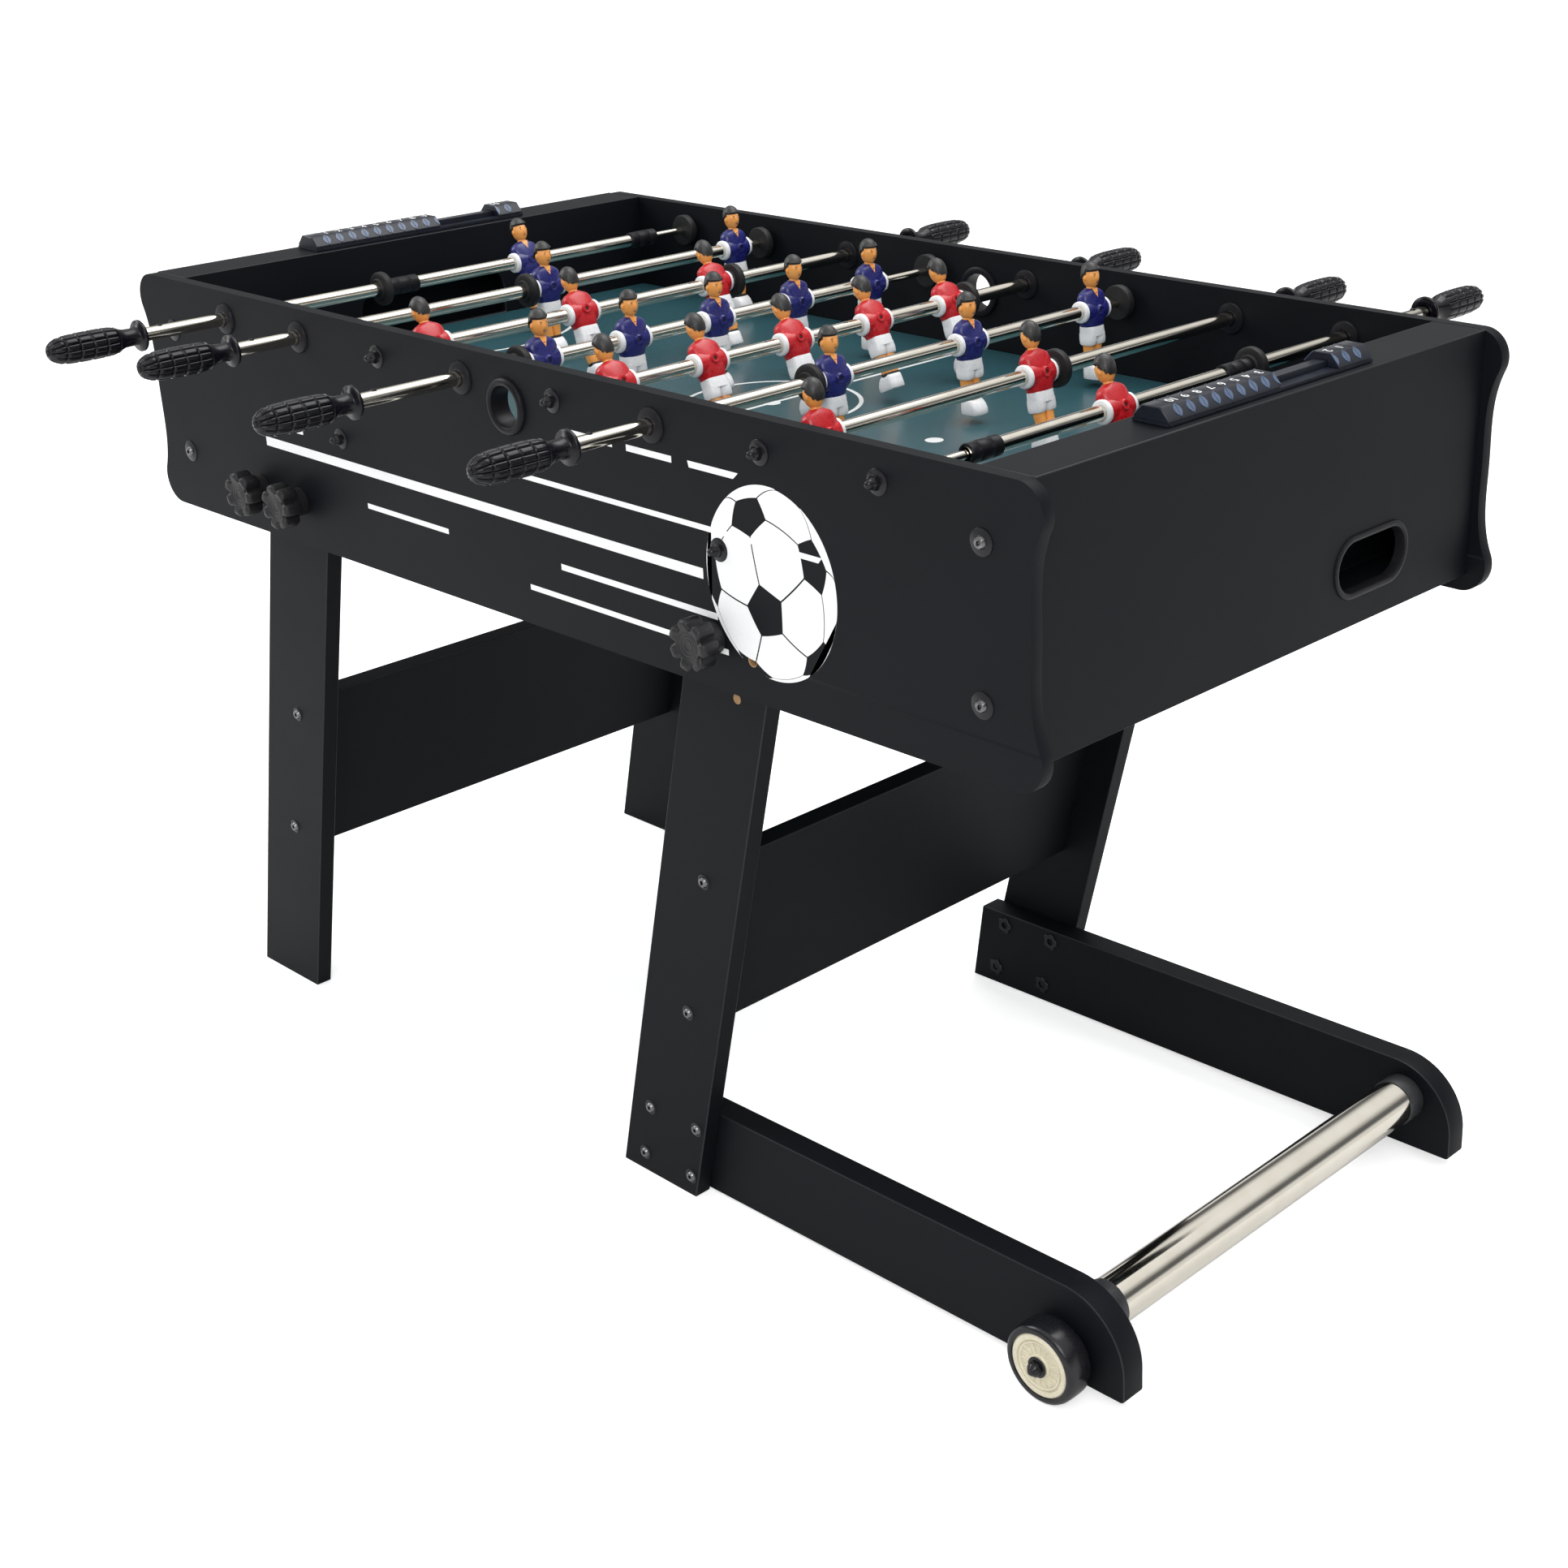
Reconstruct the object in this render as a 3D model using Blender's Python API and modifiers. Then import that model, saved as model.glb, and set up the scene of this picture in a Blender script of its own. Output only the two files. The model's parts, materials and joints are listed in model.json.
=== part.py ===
"""Folding table-football table.

Metres, +Z up, floor at z = 0.  X runs along the table, with +X at the wheeled end.
Y runs across it: the blue team's handles are at -Y and the red team's at +Y.
"""
import math

import bmesh
import bpy
from mathutils import Matrix, Vector

# ---------------------------------------------------------------- driving dimensions
LENGTH = 1.210              # side panels, end to end
WIDTH = 0.618               # over both side panels
HEIGHT = 0.795              # floor to the top edge of the box
GAP = 0.0003                # clearance between pieces that touch

PANEL_T = 0.0125            # side panel board
PANEL_BOTTOM = 0.5575       # underside of the side panels
CORNER_R = 0.025            # rounded corners of the side panels
WAIST = 0.011               # how far the ends of the side panels curve in

END_INNER = 0.535           # inner face of each end box, from the middle
END_OUTER = 0.587           # outer face of each end box
END_BOTTOM = 0.574          # underside of the end boxes
END_WALL = 0.0078           # walls of the end boxes
GOAL_HALF = 0.094           # half the goal's width
GOAL_TOP = 0.747            # upper edge of the goal opening
EXIT_Y = 0.138              # middle of the ball exit, across the table
EXIT_Z = 0.627              # height of the ball exit
EXIT_HALF = 0.050           # half the exit's length
EXIT_R = 0.023              # rounded ends of the exit
CHANNEL_FLOOR = 0.602       # floor of the ball channel inside an end box

FIELD_TOP = 0.695           # playing surface
FIELD_T = 0.009             # playfield board
CLEAT = 0.016               # square strips that carry the board along the panels
CROSS_BAR_X = 0.265         # cross bars under the board, one to each side
CROSS_BAR_W = 0.030
CROSS_BAR_H = 0.012

ROD_Z = 0.768               # rod axes
ROD_PITCH = 0.127           # between rods
TUBE_R = 0.0065             # outer tube
TUBE_BORE = 0.0050
TUBE_IN_GRIP = 0.048        # length of the tube held inside the grip
ROUND = 10                  # sides of the rods' turned pieces
GUIDE_R = 0.0040            # inner rod that the tube slides over
SLEEVE_R = 0.0085           # plastic sleeves on the tube
BUSH_R = 0.0145             # flanged bush in the handle-side panel
BUSH_BORE = 0.0071
BUSH_LIP = 0.0025
BUMPER_R = 0.0170
BUMPER_T = 0.0120
BUMPER_BORE = 0.0070
WALL_BUMPER_T = 0.0100      # bumper at the far panel
WALL_DISC_T = 0.0040
HUB_HALF = 0.0185           # half the length of a man's arms round the tube
SLEEVE_REACH = 0.1615       # keepers: arms to the outer ends of the sleeves
SLEEVE_L = 0.036
# handle flange to the panel with the rod pushed right in, by the number of men on the rod
GRIP_REACH = {1: 0.054, 2: 0.059, 3: 0.071, 5: 0.052}

CUP_Z = 0.753               # ball entry cups, in the middle of each side panel
CUP_FLANGE_R = 0.025
CUP_BORE = 0.018
CUP_SLEEVE_R = 0.0205

LEAN = math.atan(0.2475)    # both leg frames lean with their feet towards -X
LEG_W = 0.1015
LEG_T = 0.018
LEG_FACE = 0.278            # outer faces of the legs, from the middle plane
LEG_HEAD_Z = 0.602          # height of the leg heads' centres and of the pivots
WHEELED_LEG_X = 0.2415      # centre lines of the legs at that height
PLAIN_LEG_X = -0.4005
WHEELED_PIVOT_X = 0.2526    # the box swings up about this axis
PLAIN_PIVOT_X = -0.4160     # the plain legs fold about this axis
LOCK_KNOB_X = -0.3500       # second knob beside the plain legs
LOCK_HOLE = (0.2984, 0.5922)  # open hole for locking the folded table
STUD_R = 0.0040
STUD_HOLE_R = 0.0045
SPACER_R = 0.0160           # round spacers between the legs and the side panels
STRETCHER_T = 0.018
STRETCHER_H = 0.192
WHEELED_STRETCHER_Z = 0.273  # middle of each stretcher
PLAIN_STRETCHER_Z = 0.266
STRETCHER_AHEAD = 0.004     # its middle is this far in front of the legs' centre line

RAIL_T = 0.025
RAIL_H = 0.089
RAIL_START = 0.040
RAIL_END = 0.653
RAIL_NOSE_R = 0.065         # rounded upper corner at the wheel end
RAIL_HEEL = math.radians(10)  # lean of the square end
RAIL_RISE = math.radians(1.15)
CROSS_TUBE_X = 0.599
CROSS_TUBE_Z = 0.064
CROSS_TUBE_R = 0.022
CROSS_TUBE_BORE = 0.0205

WHEEL_X = 0.588
WHEEL_R = 0.037
WHEEL_T = 0.028
WHEEL_OFF = 0.005           # wheel to the outside of the rail
AXLE_R = 0.004

KNOB_R = 0.0225
KNOB_T = 0.019
KNOB_LOBES = 7
KNOB_STANDOFF = 0.012
KNOB_BOSS_R = 0.0140

SCORER_W = 0.034
SCORER_H = 0.0140
SCORER_TOP_W = 0.018
SCORER_PLATE = 0.003
SCORER_BAR_W = 0.0114
SCORER_BAR_H = 0.0050
BEAD = 0.0158               # length of one counting bead
SCORER_TRAVEL = 0.079
SCORER_END = 0.0165

# team, men, spacing of the men, where the rod stands across the table, lean in degrees
RODS = (
    ("blue", 1, 0.000, 0.060, -16),
    ("blue", 2, 0.260, 0.1170, -4),
    ("red", 3, 0.1755, -0.072, -24),
    ("blue", 5, 0.105, -0.010, 0),
    ("red", 5, 0.105, -0.029, -25),
    ("blue", 3, 0.1755, 0.070, -3),
    ("red", 2, 0.260, -0.112, -13),
    ("red", 1, 0.000, -0.032, -20),
)

INNER_Y = WIDTH / 2 - PANEL_T
ALONG_Y = Matrix.Rotation(-math.pi / 2, 4, "X")
UPRIGHT = Matrix.Rotation(math.pi / 2, 4, "X")


# ---------------------------------------------------------------- scene and helpers
for old in list(bpy.data.objects):
    bpy.data.objects.remove(old, do_unlink=True)

parts = bpy.data.collections.new("foosball_table")
cutters = bpy.data.collections.new("cutters")
bpy.context.scene.collection.children.link(parts)
bpy.context.scene.collection.children.link(cutters)
world_place = {}


def make_material(name, colour, roughness, metallic=0.0):
    material = bpy.data.materials.new(name)
    material.use_nodes = True
    shader = material.node_tree.nodes["Principled BSDF"]
    shader.inputs["Base Color"].default_value = (*colour, 1.0)
    shader.inputs["Roughness"].default_value = roughness
    shader.inputs["Metallic"].default_value = metallic
    return material


BLACK_BOARD = make_material("black_laminate", (0.018, 0.019, 0.021), 0.55)
FIELD_BOARD = make_material("teal_playfield", (0.030, 0.090, 0.105), 0.30)
CHROME = make_material("chrome", (0.80, 0.78, 0.73), 0.12, 1.0)
BLACK_PLASTIC = make_material("black_plastic", (0.020, 0.021, 0.025), 0.40)
RUBBER = make_material("black_rubber", (0.022, 0.022, 0.023), 0.75)
BLUE_TEAM = make_material("blue_shirt_plastic", (0.030, 0.030, 0.240), 0.35)
RED_TEAM = make_material("red_shirt_plastic", (0.480, 0.020, 0.035), 0.35)
TYRE = make_material("black_tyre", (0.015, 0.016, 0.020), 0.35)


def tidy_mesh(mesh):
    """Weld, turn the faces outwards and smooth the round stretches."""
    work = bmesh.new()
    work.from_mesh(mesh)
    bmesh.ops.remove_doubles(work, verts=work.verts, dist=1e-6)
    bmesh.ops.recalc_face_normals(work, faces=work.faces)
    work.to_mesh(mesh)
    work.free()
    mesh.shade_smooth()
    mesh.set_sharp_from_angle(angle=math.radians(35))
    return mesh


def evaluated_mesh(thing):
    """The object's mesh with its modifiers applied; the object is then removed."""
    graph = bpy.context.evaluated_depsgraph_get()
    mesh = bpy.data.meshes.new_from_object(thing.evaluated_get(graph))
    bpy.data.objects.remove(thing, do_unlink=True)
    return tidy_mesh(mesh)


def add_object(name, mesh, material=None, collection=parts):
    thing = bpy.data.objects.new(name, mesh)
    collection.objects.link(thing)
    if material:
        mesh.materials.clear()
        mesh.materials.append(material)
    return thing


def helper_object(name, mesh):
    """A cutter or a joined shape: kept, but not a part of its own."""
    thing = add_object(name, mesh, collection=cutters)
    thing.parent = wheeled_frame
    thing.hide_render = True
    thing.display_type = "WIRE"
    return thing


def place(thing, where, parent=None):
    """Put a piece at a point of the table, under its parent."""
    world_place[thing.name] = Vector(where)
    thing.location = Vector(where)
    if parent:
        thing.parent = parent
        thing.location = Vector(where) - world_place[parent.name]
    return thing


def boolean(thing, other, operation):
    change = thing.modifiers.new(operation.lower(), "BOOLEAN")
    change.operation = operation
    change.solver = "EXACT"
    change.object = other


def box_mesh(size, centre=(0, 0, 0), top_scale=(1, 1), top_shift=0.0):
    """A cube brought to size, whose top may be narrower or pushed along X."""
    work = bmesh.new()
    bmesh.ops.create_cube(work, size=1.0)
    for vert in work.verts:
        x, y, z = vert.co
        if z > 0:
            x, y = x * top_scale[0], y * top_scale[1]
        shift = top_shift if z > 0 else 0.0
        vert.co = (x * size[0] + shift + centre[0], y * size[1] + centre[1], z * size[2] + centre[2])
    mesh = bpy.data.meshes.new("box")
    work.to_mesh(mesh)
    work.free()
    return tidy_mesh(mesh)


def arc(centre, radius, start, end, count):
    """Points on an arc; the angles are in degrees."""
    step = (end - start) / count
    angles = [math.radians(start + step * i) for i in range(count + 1)]
    return [(centre[0] + radius * math.cos(a), centre[1] + radius * math.sin(a)) for a in angles]


def circle(centre, radius, count):
    return arc(centre, radius, 0, 360 - 360 / count, count - 1)


def plate_mesh(outline, thickness, holes=()):
    """A board cut to an outline in X and Z, its thickness centred on Y = 0."""
    curve = bpy.data.curves.new("outline", "CURVE")
    curve.dimensions = "2D"
    curve.fill_mode = "BOTH"
    curve.extrude = thickness / 2
    for loop in (outline, *holes):
        spline = curve.splines.new("POLY")
        spline.points.add(len(loop) - 1)
        for point, (x, z) in zip(spline.points, loop):
            point.co = (x, z, 0, 1)
        spline.use_cyclic_u = True
    mesh = evaluated_mesh(add_object("outline", curve, collection=cutters))
    mesh.transform(UPRIGHT)
    return mesh


def turned_mesh(profile, steps, ring=False):
    """A turned shape about Y.  The profile is (radius, place along Y), from +Y to -Y."""
    work = bmesh.new()
    verts = [work.verts.new((radius, 0, along)) for radius, along in profile]
    for first, second in zip(verts, verts[1:]):
        work.edges.new((first, second))
    if ring:
        work.edges.new((verts[-1], verts[0]))
    mesh = bpy.data.meshes.new("profile")
    work.to_mesh(mesh)
    work.free()
    thing = add_object("profile", mesh, collection=cutters)
    screw = thing.modifiers.new("turn", "SCREW")
    screw.steps = steps
    screw.render_steps = steps
    screw.use_merge_vertices = True
    screw.merge_threshold = 0.00001
    mesh = evaluated_mesh(thing)
    mesh.transform(ALONG_Y)
    return mesh


def merged(meshes):
    """One mesh from several that do not touch."""
    work = bmesh.new()
    for mesh in meshes:
        work.from_mesh(mesh)
    result = bpy.data.meshes.new("merged")
    work.to_mesh(result)
    work.free()
    return result


def shifted(mesh, offset, turn=None):
    copy = mesh.copy()
    if turn:
        copy.transform(turn)
    copy.transform(Matrix.Translation(offset))
    return copy


def flipped(mesh):
    """The same mesh mirrored in Y, facing outwards again."""
    copy = mesh.copy()
    copy.transform(Matrix.Scale(-1, 4, (0, 1, 0)))
    return tidy_mesh(copy)


# ---------------------------------------------------------------- bodies
wheeled_frame = bpy.data.objects.new("wheeled_frame_origin", None)
cabinet = bpy.data.objects.new("cabinet_pivot", None)
plain_legs = bpy.data.objects.new("plain_legs_pivot", None)
for empty in (wheeled_frame, cabinet, plain_legs):
    parts.objects.link(empty)
place(wheeled_frame, (0, 0, 0))
place(cabinet, (WHEELED_PIVOT_X, 0, LEG_HEAD_Z), wheeled_frame)
place(plain_legs, (PLAIN_PIVOT_X, 0, LEG_HEAD_Z), cabinet)


# ---------------------------------------------------------------- side panels
def panel_outline():
    """Round corners that run on into a hollow waist at each end."""
    half, low, high = LENGTH / 2, PANEL_BOTTOM, HEIGHT
    overrun = 24
    top = arc((half - CORNER_R, high - CORNER_R), CORNER_R, 90, -overrun, 7)
    middle = (half - WAIST, (low + high) / 2)
    start, pull = top[-1], 0.030
    lean = math.radians(overrun)
    bend = (start[0] - pull * math.sin(lean), start[1] - pull * math.cos(lean))
    knee = (middle[0], middle[1] + 0.030)
    waist = []
    for i in range(1, 7):
        t = i / 6
        weights = ((1 - t) ** 3, 3 * t * (1 - t) ** 2, 3 * t * t * (1 - t), t ** 3)
        waist.append(tuple(sum(w * p[k] for w, p in zip(weights, (start, bend, knee, middle)))
                           for k in (0, 1)))
    upper = top + waist
    lower = [(x, low + high - z) for x, z in reversed(upper[:-1])]
    right = upper + lower
    return right + [(-x, z) for x, z in reversed(right)]


bush = turned_mesh([(BUSH_R, PANEL_T / 2 + BUSH_LIP), (BUSH_R, -PANEL_T / 2 - BUSH_LIP),
                    (BUSH_BORE, -PANEL_T / 2 - BUSH_LIP), (BUSH_BORE, PANEL_T / 2 + BUSH_LIP)],
                   ROUND, ring=True)

for side, name, team in ((-1, "side_panel_front", "blue"), (1, "side_panel_rear", "red")):
    holes = [circle((0, CUP_Z), CUP_SLEEVE_R + 0.0005, 16), circle(LOCK_HOLE, 0.005, 8)]
    holes += [circle((x, LEG_HEAD_Z), STUD_HOLE_R, 8)
              for x in (WHEELED_PIVOT_X, PLAIN_PIVOT_X, LOCK_KNOB_X)]
    bushes = []
    for index, rod in enumerate(RODS):
        x = (index - 3.5) * ROD_PITCH
        if rod[0] == team:
            bushes.append(shifted(bush, (x, 0, ROD_Z)))
            holes.append(circle((x, ROD_Z), 0.010, 8))
        else:
            holes.append(circle((x, ROD_Z), GUIDE_R + 0.0005, 8))
    panel = add_object(name, plate_mesh(panel_outline(), PANEL_T, holes), BLACK_BOARD)
    place(panel, (0, side * (WIDTH - PANEL_T) / 2, 0), cabinet)
    lips = helper_object(name + "_bushes", merged(bushes))
    lips.location = (0, side * (WIDTH - PANEL_T) / 2, 0)
    boolean(panel, lips, "UNION")


# ---------------------------------------------------------------- end boxes
def end_box(name, side):
    """A hollow box with a goal mouth inside, a ball channel and an exit outside."""
    depth = END_OUTER - END_INNER
    middle = (END_INNER + END_OUTER) / 2
    height = HEIGHT - END_BOTTOM
    length = 2 * (INNER_Y - GAP)
    body = add_object(name, box_mesh((depth, length, height)), BLACK_BOARD)
    centre = (side * middle, 0, (HEIGHT + END_BOTTOM) / 2)
    place(body, centre, cabinet)
    low, high = CHANNEL_FLOOR, HEIGHT - 0.012
    channel = helper_object(name + "_channel", box_mesh((depth - 2 * END_WALL, length - 0.050, high - low)))
    channel.location = (centre[0], 0, (low + high) / 2)
    floor = FIELD_TOP + 0.0005
    corner = 0.022
    mouth = [(-GOAL_HALF, floor), (GOAL_HALF, floor)]
    mouth += arc((GOAL_HALF - corner, GOAL_TOP - corner), corner, 0, 90, 4)
    mouth += arc((corner - GOAL_HALF, GOAL_TOP - corner), corner, 90, 180, 4)
    goal = helper_object(name + "_goal", plate_mesh(mouth, 3 * END_WALL))
    straight = EXIT_HALF - EXIT_R
    slot = arc((straight, 0), EXIT_R, -90, 90, 6) + arc((-straight, 0), EXIT_R, 90, 270, 6)
    way_out = helper_object(name + "_exit", plate_mesh(slot, 3 * END_WALL))
    for cutter, x, y, z in ((goal, side * (END_INNER + END_WALL / 2), 0, 0),
                            (way_out, side * (END_OUTER - END_WALL / 2), side * EXIT_Y, EXIT_Z)):
        cutter.rotation_euler = (0, 0, math.pi / 2)
        cutter.location = (x, y, z)
    for cutter in (channel, goal, way_out):
        boolean(body, cutter, "DIFFERENCE")


end_box("end_box_plain", -1)
end_box("end_box_wheeled", 1)


# ---------------------------------------------------------------- playfield
field_long = 2 * (END_INNER - GAP)
field_wide = 2 * (INNER_Y - GAP)
playfield = add_object("playfield", box_mesh((field_long, field_wide, FIELD_T)), FIELD_BOARD)
place(playfield, (0, 0, FIELD_TOP - FIELD_T / 2), cabinet)
bearers = []
overlap = 0.001
for side in (-1, 1):
    bearers.append(box_mesh((field_long - 0.002, CLEAT, CLEAT + overlap),
                            (0, side * (field_wide - CLEAT - 0.002) / 2,
                             FIELD_TOP - FIELD_T - (CLEAT - overlap) / 2)))
strips = helper_object("playfield_strips", merged(bearers))
bars = helper_object("playfield_cross_bars", merged(
    [box_mesh((CROSS_BAR_W, field_wide - 0.004, CROSS_BAR_H + overlap),
              (side * CROSS_BAR_X, 0, FIELD_TOP - FIELD_T - (CROSS_BAR_H - overlap) / 2))
     for side in (-1, 1)]))
boolean(playfield, strips, "UNION")
boolean(playfield, bars, "UNION")

# ---------------------------------------------------------------- ball entry cups
cup_lip = 0.003
cup_outer = PANEL_T / 2 + GAP
cup_profile = [(CUP_FLANGE_R, cup_outer + cup_lip), (CUP_FLANGE_R, cup_outer), (CUP_SLEEVE_R, cup_outer),
               (CUP_SLEEVE_R, -cup_outer), (CUP_FLANGE_R, -cup_outer),
               (CUP_FLANGE_R, -cup_outer - cup_lip), (CUP_BORE, -cup_outer - cup_lip),
               (CUP_BORE, cup_outer + cup_lip)]
for side, name in ((-1, "ball_cup_front"), (1, "ball_cup_rear")):
    cup = add_object(name, turned_mesh(cup_profile, 16, ring=True), BLACK_PLASTIC)
    place(cup, (0, side * (WIDTH - PANEL_T) / 2, CUP_Z), cabinet)


# ---------------------------------------------------------------- rods
def solid(mesh_list, name):
    """One closed mesh, the union of several overlapping ones."""
    base = helper_object(name, mesh_list[0])
    others = [helper_object(name + "_piece", mesh) for mesh in mesh_list[1:]]
    for other in others:
        boolean(base, other, "UNION")
    result = evaluated_mesh(base)
    for other in others:
        bpy.data.objects.remove(other, do_unlink=True)
    return result


def bar_mesh(radius, start, end, steps):
    """A plain round bar along Y."""
    high, low = max(start, end), min(start, end)
    return turned_mesh([(0, high), (radius, high), (radius, low), (0, low)], steps)


def ball_mesh(radius, stretch, centre):
    work = bmesh.new()
    bmesh.ops.create_uvsphere(work, u_segments=6, v_segments=4, radius=radius)
    for vert in work.verts:
        vert.co = Vector((vert.co.x * stretch[0], vert.co.y * stretch[1],
                          vert.co.z * stretch[2])) + Vector(centre)
    mesh = bpy.data.meshes.new("ball")
    work.to_mesh(mesh)
    work.free()
    return tidy_mesh(mesh)


def man_mesh():
    """A player about the rod axis, facing +X, bored for the tube."""
    body = solid([
        box_mesh((0.0150, 0.0270, 0.0320), (0, 0, 0.0040), top_scale=(1.1, 1.22)),
        bar_mesh(0.0112, -HUB_HALF, HUB_HALF, 8),
        box_mesh((0.0080, 0.0080, 0.0120), (0, 0, 0.0230)),
        ball_mesh(0.0095, (1.0, 0.86, 1.22), (0.0005, 0, 0.0350)),
        box_mesh((0.0180, 0.0270, 0.0240), (0, 0, -0.0220), top_scale=(0.85, 0.92)),
        box_mesh((0.0110, 0.0190, 0.0240), (0, 0, -0.0440), top_scale=(1.15, 1.1)),
        box_mesh((0.0230, 0.0190, 0.0130), (0.0040, 0, -0.0590), top_scale=(0.8, 0.95), top_shift=-0.002),
    ], "man")
    thing = helper_object("man_whole", body)
    bore = helper_object("man_bore", bar_mesh((TUBE_R + TUBE_BORE) / 2, -0.05, 0.05, 8))
    boolean(thing, bore, "DIFFERENCE")
    result = evaluated_mesh(thing)
    bpy.data.objects.remove(bore, do_unlink=True)
    return result


def tube_profile(far, near, sleeves):
    """A hollow tube from near (+) to far (-), with raised sleeves between given places."""
    profile = [(TUBE_R, near)]
    for high, low in sleeves:
        profile += [(TUBE_R, high), (SLEEVE_R, high), (SLEEVE_R, low)]
        if low > far + GAP:
            profile.append((TUBE_R, low))
    if profile[-1][0] == TUBE_R or profile[-1][1] > far + GAP:
        profile.append((TUBE_R, far))
    return profile + [(TUBE_BORE, far), (TUBE_BORE, near)]


def rod_reach(men, spacing):
    """Far end of the tube, the stop next to the bumper, and the rod's stroke each way."""
    arms = (men - 1) / 2 * spacing + HUB_HALF
    far_end = -(arms + (SLEEVE_REACH if men == 1 else 0.005))
    stop = arms + (SLEEVE_REACH if men == 1 else 0.0)
    far_room = INNER_Y - GAP - WALL_DISC_T - WALL_BUMPER_T + far_end
    near_room = INNER_Y - BUSH_LIP - stop - GAP - BUMPER_T
    spare = 0.005 if men == 1 else 0.001
    return far_end, stop, min(far_room, near_room) - spare


def handle_profile():
    """Flange, neck and domed grip, with a blind bore for the tube."""
    bore, depth = TUBE_R + GAP, TUBE_IN_GRIP + 0.004
    grip = [(0, 0.0970), (0.0070, 0.0945), (0.0118, 0.0880), (0.0133, 0.0790), (0.0133, 0.0300),
            (0.0105, 0.0210), (0.0085, 0.0180), (0.0085, 0.0040), (0.0148, 0.0040), (0.0148, 0)]
    return grip + [(bore, 0), (bore, depth), (0, depth)]


def guide_profile(inner):
    """Acorn nut, washer, shank through the panel, wall bumper, then the thin guide rod."""
    outside = PANEL_T + GAP
    bumper_face = -GAP - WALL_DISC_T
    return [(0, outside + 0.0105), (0.0035, outside + 0.0090), (0.0055, outside + 0.0055),
            (0.0055, outside + 0.0012), (0.0080, outside + 0.0012), (0.0080, outside),
            (GUIDE_R, outside), (GUIDE_R, -GAP), (0.0110, -GAP), (0.0110, bumper_face),
            (BUMPER_R, bumper_face), (BUMPER_R, bumper_face - WALL_BUMPER_T),
            (GUIDE_R, bumper_face - WALL_BUMPER_T), (GUIDE_R, -inner), (0, -inner)]


man = man_mesh()
handle = turned_mesh(handle_profile(), ROUND)
bumper = turned_mesh([(BUMPER_R, BUMPER_T / 2), (BUMPER_R, -BUMPER_T / 2),
                      (BUMPER_BORE, -BUMPER_T / 2), (BUMPER_BORE, BUMPER_T / 2)], ROUND, ring=True)

for index, (team, men, spacing, across, tilt) in enumerate(RODS):
    number = index + 1
    x = (index - 3.5) * ROD_PITCH
    near_side = -1 if team == "blue" else 1
    facing = 1 if team == "blue" else -1
    # places along the rod, from the far end (-) to the handle (+)
    half_span = (men - 1) / 2 * spacing
    far_end, stop, stroke = rod_reach(men, spacing)
    grip_at = WIDTH / 2 + GRIP_REACH[men] + stroke
    sleeves = [(stop, stop - SLEEVE_L), (far_end + SLEEVE_L, far_end)] if men == 1 else []

    ring = add_object(f"bumper_{number}", bumper.copy(), RUBBER)
    ring_at = across + near_side * (stop + GAP + BUMPER_T / 2)
    place(ring, (x, ring_at, ROD_Z), cabinet)

    tube = turned_mesh(tube_profile(far_end, grip_at + TUBE_IN_GRIP, sleeves), ROUND, ring=True)
    if near_side < 0:
        tube = flipped(tube)
    colour = BLUE_TEAM if team == "blue" else RED_TEAM
    rod = add_object(f"rod_{number}_{team}_men", tube, colour)
    place(rod, (x, across, ROD_Z), ring)
    turn = Matrix.Rotation(math.radians(tilt), 4, "Y")
    if facing < 0:
        turn = turn @ Matrix.Rotation(math.pi, 4, "Z")
    crew = [shifted(man, (0, -half_span + spacing * k, 0), turn) for k in range(men)]
    team_shape = helper_object(f"rod_{number}_men", merged(crew))
    team_shape.location = (x, across, ROD_Z)
    boolean(rod, team_shape, "UNION")

    grip = add_object(f"handle_{number}", flipped(handle) if near_side < 0 else handle.copy(),
                      BLACK_PLASTIC)
    place(grip, (x, across + near_side * grip_at, ROD_Z), rod)

    # the guide rod is fixed to the panel opposite the handle
    reach = INNER_Y + far_end + stroke + 0.030
    guide = turned_mesh(guide_profile(reach), 8)
    if near_side > 0:
        guide = flipped(guide)
    guide_rod = add_object(f"guide_rod_{number}", guide, CHROME)
    place(guide_rod, (x, -near_side * INNER_Y, ROD_Z), cabinet)


# ---------------------------------------------------------------- leg frames
def leg_line(centre_x, z):
    """Centre line of a leaning leg at a height."""
    return centre_x - (LEG_HEAD_Z - z) * math.tan(LEAN)


def leg_outline(centre_x):
    """Level foot, leaning edges and a round head; X from the table's middle."""
    half = LEG_W / 2
    edge = half / math.cos(LEAN)
    foot = leg_line(centre_x, 0)
    degrees = math.degrees(LEAN)
    head = arc((centre_x, LEG_HEAD_Z), half, -degrees, 180 - degrees, 14)
    return [(foot - edge, 0), (foot + edge, 0)] + head


def stretcher_mesh(centre_x, middle_z):
    """A board between the legs, leaning with them."""
    length = 2 * (LEG_FACE - LEG_T - GAP)
    mesh = box_mesh((STRETCHER_T, length, STRETCHER_H))
    mesh.transform(Matrix.Rotation(LEAN, 4, "Y"))
    mesh.transform(Matrix.Translation((leg_line(centre_x, middle_z), 0, middle_z)))
    return mesh


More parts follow.
